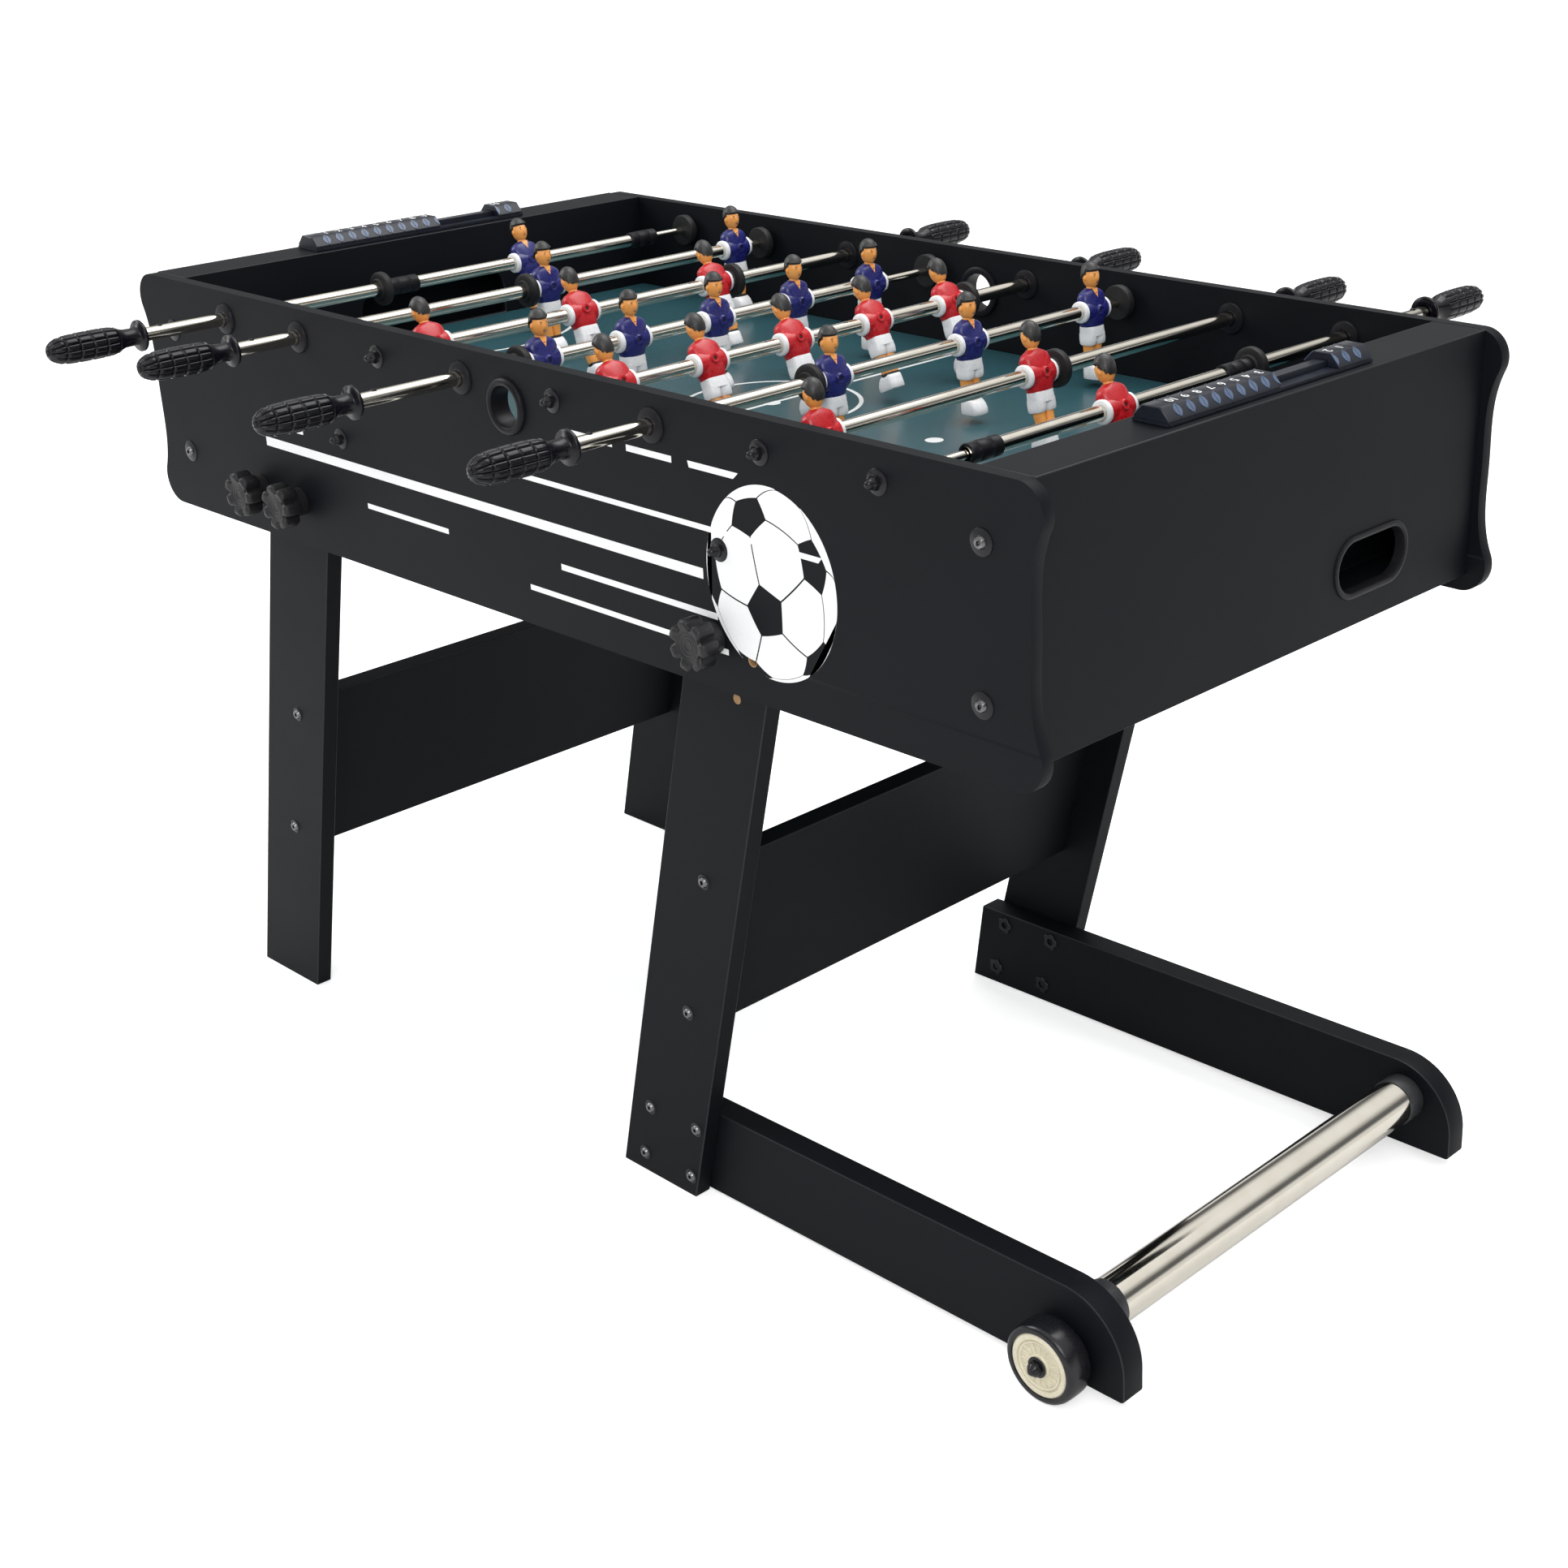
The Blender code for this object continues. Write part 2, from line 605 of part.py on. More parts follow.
spacer_length = INNER_Y - GAP - LEG_FACE
for group, centre_x, pivot_x, owner, middle_z in (
        ("wheeled", WHEELED_LEG_X, WHEELED_PIVOT_X, wheeled_frame, WHEELED_STRETCHER_Z),
        ("plain", PLAIN_LEG_X, PLAIN_PIVOT_X, plain_legs, PLAIN_STRETCHER_Z)):
    hole = circle((pivot_x, LEG_HEAD_Z), STUD_HOLE_R, 8)
    pivot = (pivot_x, 0, LEG_HEAD_Z)
    for side, place_name in ((-1, "front"), (1, "rear")):
        board = plate_mesh(leg_outline(centre_x), LEG_T, [hole])
        board.transform(Matrix.Translation((-pivot_x, 0, -LEG_HEAD_Z)))
        leg = add_object(f"{group}_leg_{place_name}", board, BLACK_BOARD)
        place(leg, (pivot_x, side * (LEG_FACE - LEG_T / 2), LEG_HEAD_Z), owner)
        # a round spacer keeps the leg's head off the side panel
        start, end = LEG_T / 2 - 0.001, LEG_T / 2 + spacer_length
        spacer = turned_mesh([(SPACER_R, end), (SPACER_R, start), (STUD_HOLE_R, start), (STUD_HOLE_R, end)],
                             8, ring=True)
        if side < 0:
            spacer = flipped(spacer)
        boss = helper_object(f"{group}_spacer_{place_name}", spacer)
        boss.location = (pivot_x, side * (LEG_FACE - LEG_T / 2), LEG_HEAD_Z)
        boolean(leg, boss, "UNION")
    board = stretcher_mesh(centre_x + STRETCHER_AHEAD, middle_z)
    board.transform(Matrix.Translation((-pivot_x, 0, -LEG_HEAD_Z)))
    place(add_object(f"{group}_stretcher", board, BLACK_BOARD), pivot, owner)


# ---------------------------------------------------------------- wheeled base
def rail_outline():
    """Square at the leg, with a large round upper corner at the wheel end."""
    long = RAIL_END - RAIL_START
    nose = arc((long - RAIL_NOSE_R, RAIL_H - RAIL_NOSE_R), RAIL_NOSE_R, 0, 90, 8)
    toe = arc((long - 0.004, 0.004), 0.004, -90, 0, 2)
    flat = [(0, 0)] + toe + nose + [(RAIL_H * math.tan(RAIL_HEEL), RAIL_H)]
    cos, sin = math.cos(RAIL_RISE), math.sin(RAIL_RISE)
    return [(RAIL_START + x * cos - z * sin, 0.0004 + x * sin + z * cos) for x, z in flat]


def axle_profile():
    """Axle bolt with its washer and acorn nut outside the wheel."""
    out = WHEEL_OFF + WHEEL_T + 0.0005
    return [(0, out + 0.0100), (0.0045, out + 0.0080), (0.0070, out + 0.0055), (0.0070, out + 0.0010),
            (0.0095, out + 0.0010), (0.0095, out), (AXLE_R, out), (AXLE_R, 0.0045), (0.0090, 0.0045),
            (0.0090, -0.0010), (0, -0.0010)]


rail_outer = LEG_FACE - LEG_T - GAP
for side, place_name in ((-1, "front"), (1, "rear")):
    rail = add_object(f"base_rail_{place_name}", plate_mesh(rail_outline(), RAIL_T), BLACK_BOARD)
    place(rail, (0, side * (rail_outer - RAIL_T / 2), 0), wheeled_frame)
    axle = turned_mesh(axle_profile(), 10)
    if side < 0:
        axle = flipped(axle)
    bolt = helper_object(f"axle_{place_name}", axle)
    bolt.location = (WHEEL_X, side * rail_outer, WHEEL_R)
    boolean(rail, bolt, "UNION")

    tread = WHEEL_T / 2
    hub_bore = AXLE_R + GAP
    tyre = [(0.0300, tread), (0.0350, tread - 0.0030), (WHEEL_R, tread - 0.0090),
            (WHEEL_R, 0.0090 - tread), (0.0350, 0.0030 - tread), (0.0300, -tread),
            (0.0280, 0.0025 - tread), (0.0100, -tread), (hub_bore, -tread), (hub_bore, tread),
            (0.0100, tread), (0.0280, tread - 0.0025)]
    wheel = add_object(f"wheel_{place_name}", turned_mesh(tyre, 18, ring=True), TYRE)
    place(wheel, (WHEEL_X, side * (rail_outer + WHEEL_OFF + tread), WHEEL_R), wheeled_frame)

tube_half = rail_outer - RAIL_T - GAP
cross_tube = add_object("base_cross_tube", turned_mesh(
    [(CROSS_TUBE_R, tube_half), (CROSS_TUBE_R, -tube_half), (CROSS_TUBE_BORE, -tube_half),
     (CROSS_TUBE_BORE, tube_half)], 24, ring=True), CHROME)
place(cross_tube, (CROSS_TUBE_X, 0, CROSS_TUBE_Z), wheeled_frame)


# ---------------------------------------------------------------- locking knobs
def lobed_outline():
    points = []
    for i in range(KNOB_LOBES * 4):
        angle = 2 * math.pi * i / (KNOB_LOBES * 4)
        dip = 0.5 - 0.5 * math.cos(KNOB_LOBES * angle)
        radius = KNOB_R - 0.0035 * dip * dip
        points.append((radius * math.cos(angle), radius * math.sin(angle)))
    return points


for label, knob_x, through_leg in (("wheeled_legs", WHEELED_PIVOT_X, True),
                                   ("plain_legs", PLAIN_PIVOT_X, True),
                                   ("plain_legs_lock", LOCK_KNOB_X, False)):
    for side, place_name in ((-1, "front"), (1, "rear")):
        back = GAP + KNOB_STANDOFF
        stud_end = PANEL_T + INNER_Y - LEG_FACE - 0.001
        if through_leg:
            stud_end = PANEL_T + INNER_Y - LEG_FACE + LEG_T + 0.004
        shape = turned_mesh([(0, back + 0.001), (KNOB_BOSS_R, back + 0.001), (KNOB_BOSS_R, GAP), (STUD_R, GAP),
                             (STUD_R, -stud_end), (0, -stud_end)], 8)
        lobes = plate_mesh(lobed_outline(), KNOB_T)
        lobes.transform(Matrix.Translation((0, back + KNOB_T / 2, 0)))
        mesh = solid([lobes, shape], "knob")
        if side < 0:
            mesh = flipped(mesh)
        knob = add_object(f"knob_{label}_{place_name}", mesh, BLACK_PLASTIC)
        place(knob, (knob_x, side * WIDTH / 2, LEG_HEAD_Z), cabinet)


# ---------------------------------------------------------------- scorers
def bead_outline(slotted):
    """Flat top and sloping cheeks; a slot underneath when the bead slides."""
    wide, top = SCORER_W / 2, SCORER_TOP_W / 2
    low = SCORER_PLATE + GAP if slotted else SCORER_PLATE - 0.0010
    shape = [(wide, low), (wide, low + 0.0020), (top, SCORER_H), (-top, SCORER_H),
             (-wide, low + 0.0020), (-wide, low)]
    if slotted:
        slot, roof = SCORER_BAR_W / 2 + GAP, SCORER_PLATE + SCORER_BAR_H + GAP
        shape += [(-slot, low), (-slot, roof), (slot, roof), (slot, low)]
    return shape


track = 10 * BEAD + SCORER_TRAVEL
for side, name, fixed_beads in ((-1, "plain", 9), (1, "wheeled", 8)):
    centre = Vector((side * (END_INNER + END_OUTER) / 2, 0, HEIGHT + GAP))
    fixed = bead_outline(slotted=False)
    plate = box_mesh((SCORER_W + 0.002, track + 2 * SCORER_END, SCORER_PLATE), (0, 0, SCORER_PLATE / 2))
    bar = box_mesh((SCORER_BAR_W, track, SCORER_BAR_H + 0.001),
                   (0, 0, SCORER_PLATE + (SCORER_BAR_H - 0.001) / 2))
    pieces = [plate, bar]
    end_length = SCORER_END - 0.001
    for y in (-(track + end_length) / 2, (track + end_length) / 2):
        pieces.append(shifted(plate_mesh(fixed, end_length), (0, y, 0)))
    group = fixed_beads * BEAD
    pieces.append(shifted(plate_mesh(fixed, group), (0, (group - track) / 2 - 0.0005, 0)))
    rail = add_object(f"scorer_{name}", solid(pieces, "scorer"), BLACK_PLASTIC)
    place(rail, centre, cabinet)

    loose = (10 - fixed_beads) * BEAD
    slider = plate_mesh(bead_outline(slotted=True), loose - 2 * GAP)
    bead = add_object(f"scorer_{name}_beads", slider, BLACK_PLASTIC)
    place(bead, centre + Vector((0, (track - loose) / 2, 0)), cabinet)


# ---------------------------------------------------------------- origin
# the origin is on the floor under the middle of the whole outline, grips and rails included
bpy.context.view_layer.update()
graph = bpy.context.evaluated_depsgraph_get()
corners = [thing.matrix_world @ Vector(corner) for thing in parts.objects if thing.type == "MESH"
           for corner in thing.evaluated_get(graph).bound_box]
for axis in (0, 1):
    ends = [corner[axis] for corner in corners]
    wheeled_frame.location[axis] = -(min(ends) + max(ends)) / 2
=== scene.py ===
import json
import math

import bmesh
import bpy
from mathutils import Matrix, Vector


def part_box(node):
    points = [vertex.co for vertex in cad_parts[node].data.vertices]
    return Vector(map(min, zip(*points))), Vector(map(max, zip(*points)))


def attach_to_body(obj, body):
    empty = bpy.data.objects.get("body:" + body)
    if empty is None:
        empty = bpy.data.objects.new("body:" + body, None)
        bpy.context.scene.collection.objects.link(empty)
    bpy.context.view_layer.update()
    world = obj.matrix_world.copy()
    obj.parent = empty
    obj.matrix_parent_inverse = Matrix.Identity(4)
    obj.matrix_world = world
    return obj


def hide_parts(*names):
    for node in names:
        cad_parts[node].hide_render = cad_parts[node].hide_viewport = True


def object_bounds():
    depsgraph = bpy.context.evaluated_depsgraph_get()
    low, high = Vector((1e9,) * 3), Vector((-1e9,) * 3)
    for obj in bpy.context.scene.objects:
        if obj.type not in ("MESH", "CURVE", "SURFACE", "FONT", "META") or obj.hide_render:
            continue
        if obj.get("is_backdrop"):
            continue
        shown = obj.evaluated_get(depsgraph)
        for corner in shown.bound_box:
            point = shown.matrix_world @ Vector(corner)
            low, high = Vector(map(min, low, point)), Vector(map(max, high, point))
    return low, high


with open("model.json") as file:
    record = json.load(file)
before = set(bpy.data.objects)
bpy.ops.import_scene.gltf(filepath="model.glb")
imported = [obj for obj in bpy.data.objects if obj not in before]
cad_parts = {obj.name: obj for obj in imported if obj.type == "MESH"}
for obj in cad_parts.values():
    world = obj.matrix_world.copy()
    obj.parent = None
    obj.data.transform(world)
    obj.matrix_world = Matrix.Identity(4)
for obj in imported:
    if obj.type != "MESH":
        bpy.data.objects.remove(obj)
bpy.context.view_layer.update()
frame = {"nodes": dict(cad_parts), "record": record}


# ---- The studio ---------------------------------------------------------------------------
# A pale seamless floor under large soft boxes, in a bright even room. The camera stands off the
# front corner at the wheeled end, a little above the rim, and looks down along the table.
front_low, front_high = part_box("side_panel_front")
rear_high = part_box("side_panel_rear")[1]
middle_x = (front_low[0] + front_high[0]) / 2
middle_y = (front_low[1] + rear_high[1]) / 2

eye = Vector((middle_x + 1.6211, middle_y - 1.4972, 1.2506))
heading, dip, roll = 0.77, -0.414, -0.022
ahead = Vector((-math.sin(heading), math.cos(heading), 0))
across = Vector((math.cos(heading), math.sin(heading), 0))
upright = Vector((0, 0, 1))
view_up = upright * math.cos(dip) - ahead * math.sin(dip)
view_ahead = ahead * math.cos(dip) + upright * math.sin(dip)
view_right = across * math.cos(roll) + view_up * math.sin(roll)
view_up = view_up * math.cos(roll) - across * math.sin(roll)
camera = bpy.data.objects.new("camera", bpy.data.cameras.new("camera"))
bpy.context.scene.collection.objects.link(camera)
stand = Matrix((view_right, view_up, -view_ahead)).transposed().to_4x4()
stand.translation = eye
camera.matrix_world = stand
camera.data.sensor_width = 36
camera.data.lens = 53.9
camera.data.shift_x = -0.0790
camera.data.shift_y = 0.0074
bpy.context.scene.camera = camera


def group_noise(tree, size, stretch, detail):
    """Noise on the object's own metres, stretched along its three axes."""
    place = tree.nodes.new("ShaderNodeTexCoord")
    spread = tree.nodes.new("ShaderNodeMapping")
    spread.inputs["Scale"].default_value = stretch
    noise = tree.nodes.new("ShaderNodeTexNoise")
    noise.inputs["Scale"].default_value = size
    noise.inputs["Detail"].default_value = detail
    tree.links.new(place.outputs["Object"], spread.inputs["Vector"])
    tree.links.new(spread.outputs["Vector"], noise.inputs["Vector"])
    return noise


surface = bpy.data.node_groups.new("surface_variation", "ShaderNodeTree")
for socket_name in ("Grain size", "Patch size"):
    surface.interface.new_socket(socket_name, in_out="INPUT", socket_type="NodeSocketFloat")
for socket_name in ("Grain", "Patches", "Brushing"):
    surface.interface.new_socket(socket_name, in_out="OUTPUT", socket_type="NodeSocketFloat")
surface_in = surface.nodes.new("NodeGroupInput")
surface_out = surface.nodes.new("NodeGroupOutput")
for socket_name, stretch, driver, detail in (("Grain", (1, 1, 1), "Grain size", 3),
                                             ("Patches", (1, 1, 1), "Patch size", 2),
                                             ("Brushing", (0.06, 1, 1), "Grain size", 2)):
    noise = group_noise(surface, 100, stretch, detail)
    surface.links.new(surface_in.outputs[driver], noise.inputs["Scale"])
    surface.links.new(noise.outputs["Fac"], surface_out.inputs[socket_name])


def arithmetic(tree, operation, first, second=0.0):
    """A sum on two sockets or numbers."""
    node = tree.nodes.new("ShaderNodeMath")
    node.operation = operation
    for socket, value in zip(node.inputs, (first, second)):
        if isinstance(value, bpy.types.NodeSocket):
            tree.links.new(value, socket)
        else:
            socket.default_value = value
    return node.outputs[0]


def finish(name, dark, light, rough, grain=900, patch=9, bump=0.05, metallic=0.0, coat=0.0, shine=0.5,
           by="Grain"):
    """A surface whose colour, gloss and relief drift between two values over its grain."""
    material = bpy.data.materials.new(name)
    material.use_nodes = True
    tree = material.node_tree
    shader = tree.nodes["Principled BSDF"]
    shader.inputs["Metallic"].default_value = metallic
    shader.inputs["Coat Weight"].default_value = coat
    shader.inputs["Specular IOR Level"].default_value = shine
    shader.inputs["Coat Roughness"].default_value = 0.12
    variation = tree.nodes.new("ShaderNodeGroup")
    variation.node_tree = surface
    variation.inputs["Grain size"].default_value = grain
    variation.inputs["Patch size"].default_value = patch
    fine = arithmetic(tree, "MULTIPLY", variation.outputs[by], 0.6)
    broad = arithmetic(tree, "MULTIPLY", variation.outputs["Patches"], 0.4)
    blend = arithmetic(tree, "ADD", fine, broad)
    ramp = tree.nodes.new("ShaderNodeValToRGB")
    ramp.color_ramp.elements[0].position = 0.36
    ramp.color_ramp.elements[1].position = 0.64
    ramp.color_ramp.elements[0].color = (*dark, 1)
    ramp.color_ramp.elements[1].color = (*light, 1)
    tree.links.new(blend, ramp.inputs["Fac"])
    tree.links.new(ramp.outputs["Color"], shader.inputs["Base Color"])
    gloss = tree.nodes.new("ShaderNodeMapRange")
    gloss.inputs["From Min"].default_value = 0.35
    gloss.inputs["From Max"].default_value = 0.65
    gloss.inputs["To Min"].default_value = rough[0]
    gloss.inputs["To Max"].default_value = rough[1]
    tree.links.new(blend, gloss.inputs["Value"])
    tree.links.new(gloss.outputs["Result"], shader.inputs["Roughness"])
    relief = tree.nodes.new("ShaderNodeBump")
    relief.inputs["Strength"].default_value = bump
    relief.inputs["Distance"].default_value = 0.0004
    tree.links.new(variation.outputs[by], relief.inputs["Height"])
    tree.links.new(relief.outputs["Normal"], shader.inputs["Normal"])
    return material


def add_mesh(name, mesh, *materials):
    """A finished piece: its own object at the origin, with its finishes in slot order."""
    piece = bpy.data.objects.new(name, mesh)
    bpy.context.scene.collection.objects.link(piece)
    mesh.name = name
    if mesh.materials:
        mesh.materials.clear()
    for material in materials:
        mesh.materials.append(material)
    return piece


PAPER_GLOW = 0.60
FLOOR_REACH, FLOOR_Z = 30.0, -0.0006
paper = finish("studio_paper", (0.86, 0.86, 0.86), (0.88, 0.88, 0.88), (0.9, 0.95), grain=40, bump=0.0)
paper_shader = paper.node_tree.nodes["Principled BSDF"]
paper_shader.inputs["Emission Color"].default_value = (1, 1, 1, 1)
seen = paper.node_tree.nodes.new("ShaderNodeLightPath")
lift = arithmetic(paper.node_tree, "MULTIPLY", seen.outputs["Is Camera Ray"], PAPER_GLOW)
paper.node_tree.links.new(lift, paper_shader.inputs["Emission Strength"])
floor_mesh = bpy.data.meshes.new("studio_floor")
floor_mesh.from_pydata([(x * FLOOR_REACH, y * FLOOR_REACH, FLOOR_Z)
                        for x, y in ((-1, -1), (1, -1), (1, 1), (-1, 1))], [], [(0, 1, 2, 3)])
add_mesh("studio_floor", floor_mesh, paper)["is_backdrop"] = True

room = bpy.data.worlds.new("room")
bpy.context.scene.world = room
room.use_nodes = True
sky = room.node_tree.nodes["Background"]
sky.inputs["Strength"].default_value = 1.25
outlook = room.node_tree.nodes.new("ShaderNodeTexCoord")
height = room.node_tree.nodes.new("ShaderNodeSeparateXYZ")
wall = room.node_tree.nodes.new("ShaderNodeValToRGB")
room.node_tree.links.new(outlook.outputs["Generated"], height.inputs["Vector"])
room.node_tree.links.new(height.outputs["Z"], wall.inputs["Fac"])
room.node_tree.links.new(wall.outputs["Color"], sky.inputs["Color"])
wall.color_ramp.elements[0].position = 0.12
wall.color_ramp.elements[0].color = (0.75, 0.75, 0.75, 1)
wall.color_ramp.elements[1].position = 0.26
wall.color_ramp.elements[1].color = (0.10, 0.105, 0.115, 1)
for position, level in ((0.42, 0.14), (0.62, 0.80), (1.00, 0.95)):
    wall.color_ramp.elements.new(position).color = (level, level, level, 1)
bpy.context.scene.view_settings.view_transform = "Standard"
for name, where, size, power in (("key_softbox", (2.4, -2.6, 2.6), 2.0, 56),
                                 ("fill_softbox", (-2.8, -1.6, 2.4), 1.6, 40),
                                 ("top_softbox", (0.2, 1.0, 3.4), 2.2, 56)):
    lamp = bpy.data.objects.new(name, bpy.data.lights.new(name, "AREA"))
    bpy.context.scene.collection.objects.link(lamp)
    lamp.data.size = size
    lamp.data.energy = power
    lamp.location = where
    lamp.rotation_euler = (Vector((0, 0, 0.6)) - lamp.location).to_track_quat("-Z", "Y").to_euler()


# ---- Boards: side panels, end boxes, legs, stretchers and base rails ------------------------
# Fibreboard faced with a black laminate of very fine grain; its rounded edges are a brighter black,
# a painted highlight. Panels and rails are sawn to an outline; every edge is lightly rounded.
EDGE_ROUND = 0.0009
LARGE_FACE = 0.0015
laminate = finish("black_laminate", (0.0030, 0.0037, 0.0054), (0.0062, 0.0072, 0.0098), (0.46, 0.60),
                  grain=1400, patch=5, bump=0.12, shine=0.12)
# Painted highlight: the rounded edges get a brighter black than the laminate faces.
edge_painted_highlight = finish("edge_painted_highlight", (0.012, 0.013, 0.016), (0.022, 0.024, 0.028), (0.34, 0.46), grain=700,
                   shine=0.25)
body_of = {node: body for body, nodes in frame["record"]["behaviour"]["bodies"].items() for node in nodes}


def smooth(mesh, angle=35):
    mesh.shade_smooth()
    mesh.set_sharp_from_angle(angle=math.radians(angle))


def attach(piece, body, node=None):
    """Fixes a piece to the body that carries it, in place of a CAD node where it stands for one."""
    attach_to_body(piece, body)
    if node:
        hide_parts(node)
    return piece


def baked(piece):
    """The piece with its modifiers made part of its mesh."""
    graph = bpy.context.evaluated_depsgraph_get()
    mesh = bpy.data.meshes.new_from_object(piece.evaluated_get(graph))
    piece.modifiers.clear()
    piece.data = mesh
    smooth(mesh)
    return piece


def edged_board(name, mesh, node, facing_finish, edge, width=EDGE_ROUND):
    """A board whose rounded edges take the lighter edge finish, a painted highlight, in place of its CAD
    node.
    """
    piece = add_mesh(name, mesh, facing_finish, edge)
    rounding = piece.modifiers.new("edges", "BEVEL")
    rounding.width = width
    rounding.segments = 2
    rounding.limit_method = "ANGLE"
    rounding.angle_limit = math.radians(40)
    # The rounded edges take the second finish, which is painted lighter as a highlight.
    rounding.material = 1
    baked(piece)
    for face in piece.data.polygons:
        face.use_smooth = face.area < LARGE_FACE
    return attach(piece, body_of[node], node)


def mesh_of(work, name, angle=None):
    """The mesh of a shape, smooth up to an angle where one is given."""
    mesh = bpy.data.meshes.new(name)
    work.to_mesh(mesh)
    work.free()
    if angle:
        smooth(mesh, angle)
    return mesh


def outward(work, name, angle=None):
    """The mesh of a closed shape with its faces turned outwards."""
    bmesh.ops.recalc_face_normals(work, faces=work.faces)
    return mesh_of(work, name, angle)


def welded(mesh):
    """A shape from a mesh, with its points joined and its flat faces whole."""
    work = bmesh.new()
    work.from_mesh(mesh)
    bmesh.ops.remove_doubles(work, verts=work.verts, dist=0.00001)
    bmesh.ops.dissolve_limit(work, angle_limit=0.01, verts=work.verts, edges=work.edges)
    return work


def curve_mesh(curve):
    """The plain mesh of an outline or of a letter."""
    sheet = bpy.data.objects.new("outline", curve)
    bpy.context.scene.collection.objects.link(sheet)
    mesh = bpy.data.meshes.new_from_object(sheet.evaluated_get(bpy.context.evaluated_depsgraph_get()))
    bpy.data.objects.remove(sheet, do_unlink=True)
    return mesh


def arc(centre, radius, start, end, count):
    """Points on an arc, its angles in degrees."""
    angles = [math.radians(start + (end - start) * i / count) for i in range(count + 1)]
    return [(centre[0] + radius * math.cos(a), centre[1] + radius * math.sin(a)) for a in angles]


def sawn_board(outline, holes, thickness, y):
    """A board cut to an outline in X and Z, its middle plane at a place across the table."""
    curve = bpy.data.curves.new("outline", "CURVE")
    curve.dimensions = "2D"
    curve.fill_mode = "BOTH"
    curve.extrude = thickness / 2
    for loop in (outline, *holes):
        spline = curve.splines.new("POLY")
        spline.points.add(len(loop) - 1)
        for point, (x, z) in zip(spline.points, loop):
            point.co = (x, z, 0, 1)
        spline.use_cyclic_u = True
    mesh = curve_mesh(curve)
    mesh.transform(Matrix.Translation((0, y, 0)) @ Matrix.Rotation(math.pi / 2, 4, "X"))
    return outward(welded(mesh), "sawn_board")


def cad_shape(node):
    """A copy of a node's own mesh, with its flat faces whole."""
    return mesh_of(welded(frame["nodes"][node].data), node)


for node in ("end_box_plain", "end_box_wheeled", "wheeled_leg_front", "wheeled_leg_rear",
             "wheeled_stretcher", "plain_leg_front", "plain_leg_rear", "plain_stretcher"):
    edged_board(node + "_board", cad_shape(node), node, laminate, edge_painted_highlight)

PANEL_T = 0.0125
HALF_WIDTH = 0.309
PANEL_HALF = 0.605
PANEL_LOW, PANEL_HIGH = front_low[2], front_high[2]
PANEL_CORNER = 0.025
WAIST = 0.011
ROD_PITCH = 0.127
ROD_Z = 0.768
CUP_Z = 0.753
LOCK_HOLE = (middle_x + 0.2984, 0.5922)
rod_x = [middle_x + (i - 3.5) * ROD_PITCH for i in range(8)]
BLUE_RODS = (0, 1, 3, 5)
top_corner = arc((PANEL_HALF - PANEL_CORNER, PANEL_HIGH - PANEL_CORNER), PANEL_CORNER, 90, -24, 18)
bend_from, lean = Vector(top_corner[-1]), math.radians(24)
bend_to = Vector((PANEL_HALF - WAIST, (PANEL_LOW + PANEL_HIGH) / 2))
pulls = (bend_from, bend_from - Vector((math.sin(lean), math.cos(lean))) * 0.030,
         bend_to + Vector((0, 0.030)), bend_to)
waist = []
for i in range(1, 17):
    t = i / 16
    weights = ((1 - t) ** 3, 3 * t * (1 - t) ** 2, 3 * t * t * (1 - t), t ** 3)
    waist.append(tuple(sum((pull * w for pull, w in zip(pulls, weights)), Vector((0, 0)))))
upper = top_corner + waist
right_end = upper + [(x, PANEL_LOW + PANEL_HIGH - z) for x, z in reversed(upper[:-1])]
left_end = [(-x, z) for x, z in reversed(right_end)]
panel_outline = [(middle_x + x, z) for x, z in right_end + left_end]
for node, side, near in (("side_panel_front", -1, True), ("side_panel_rear", 1, False)):
    holes = [arc((middle_x, CUP_Z), 0.0202, 0, 354, 59), arc(LOCK_HOLE, 0.0052, 0, 345, 23)]
    holes += [arc((rod_x[i], ROD_Z), 0.0095, 0, 348, 29) for i in range(8) if (i in BLUE_RODS) == near]
    panel = sawn_board(panel_outline, holes, PANEL_T, middle_y + side * (HALF_WIDTH - PANEL_T / 2))
    edged_board(node + "_board", panel, node, laminate, edge_painted_highlight)

RAIL_T, RAIL_H = 0.025, 0.089
RAIL_LONG, RAIL_NOSE = 0.613, 0.065
RAIL_X, RAIL_OUTER = 0.040, 0.2597
RAIL_HEEL, RAIL_RISE = math.radians(10), math.radians(1.15)
flat = ([(0, 0)] + arc((RAIL_LONG - 0.004, 0.004), 0.004, -90, 0, 4)
        + arc((RAIL_LONG - RAIL_NOSE, RAIL_H - RAIL_NOSE), RAIL_NOSE, 0, 90, 28)
        + [(RAIL_H * math.tan(RAIL_HEEL), RAIL_H)])
rail_outline = [(middle_x + RAIL_X + x * math.cos(RAIL_RISE) - z * math.sin(RAIL_RISE),
                 0.0004 + x * math.sin(RAIL_RISE) + z * math.cos(RAIL_RISE)) for x, z in flat]
for node, side in (("base_rail_front", -1), ("base_rail_rear", 1)):
    rail = sawn_board(rail_outline, (), RAIL_T, middle_y + side * (RAIL_OUTER - RAIL_T / 2))
    edged_board(node + "_board", rail, node, laminate, edge_painted_highlight)


# ---- Playfield -----------------------------------------------------------------------------
# A thin board printed dark teal under a satin varnish. The white marks are printed on:
# the half-way line and circle, the spots and the curved penalty areas at both goals.
FIELD_TEAL = (0.019, 0.070, 0.086)
FIELD_TEAL_LIGHT = (0.026, 0.088, 0.106)
LINE = 0.0042
CIRCLE_R = 0.0855
SPOT_R = 0.0085
SPOT_X = 0.212
AREA_R = 0.150
AREA_X = 0.535


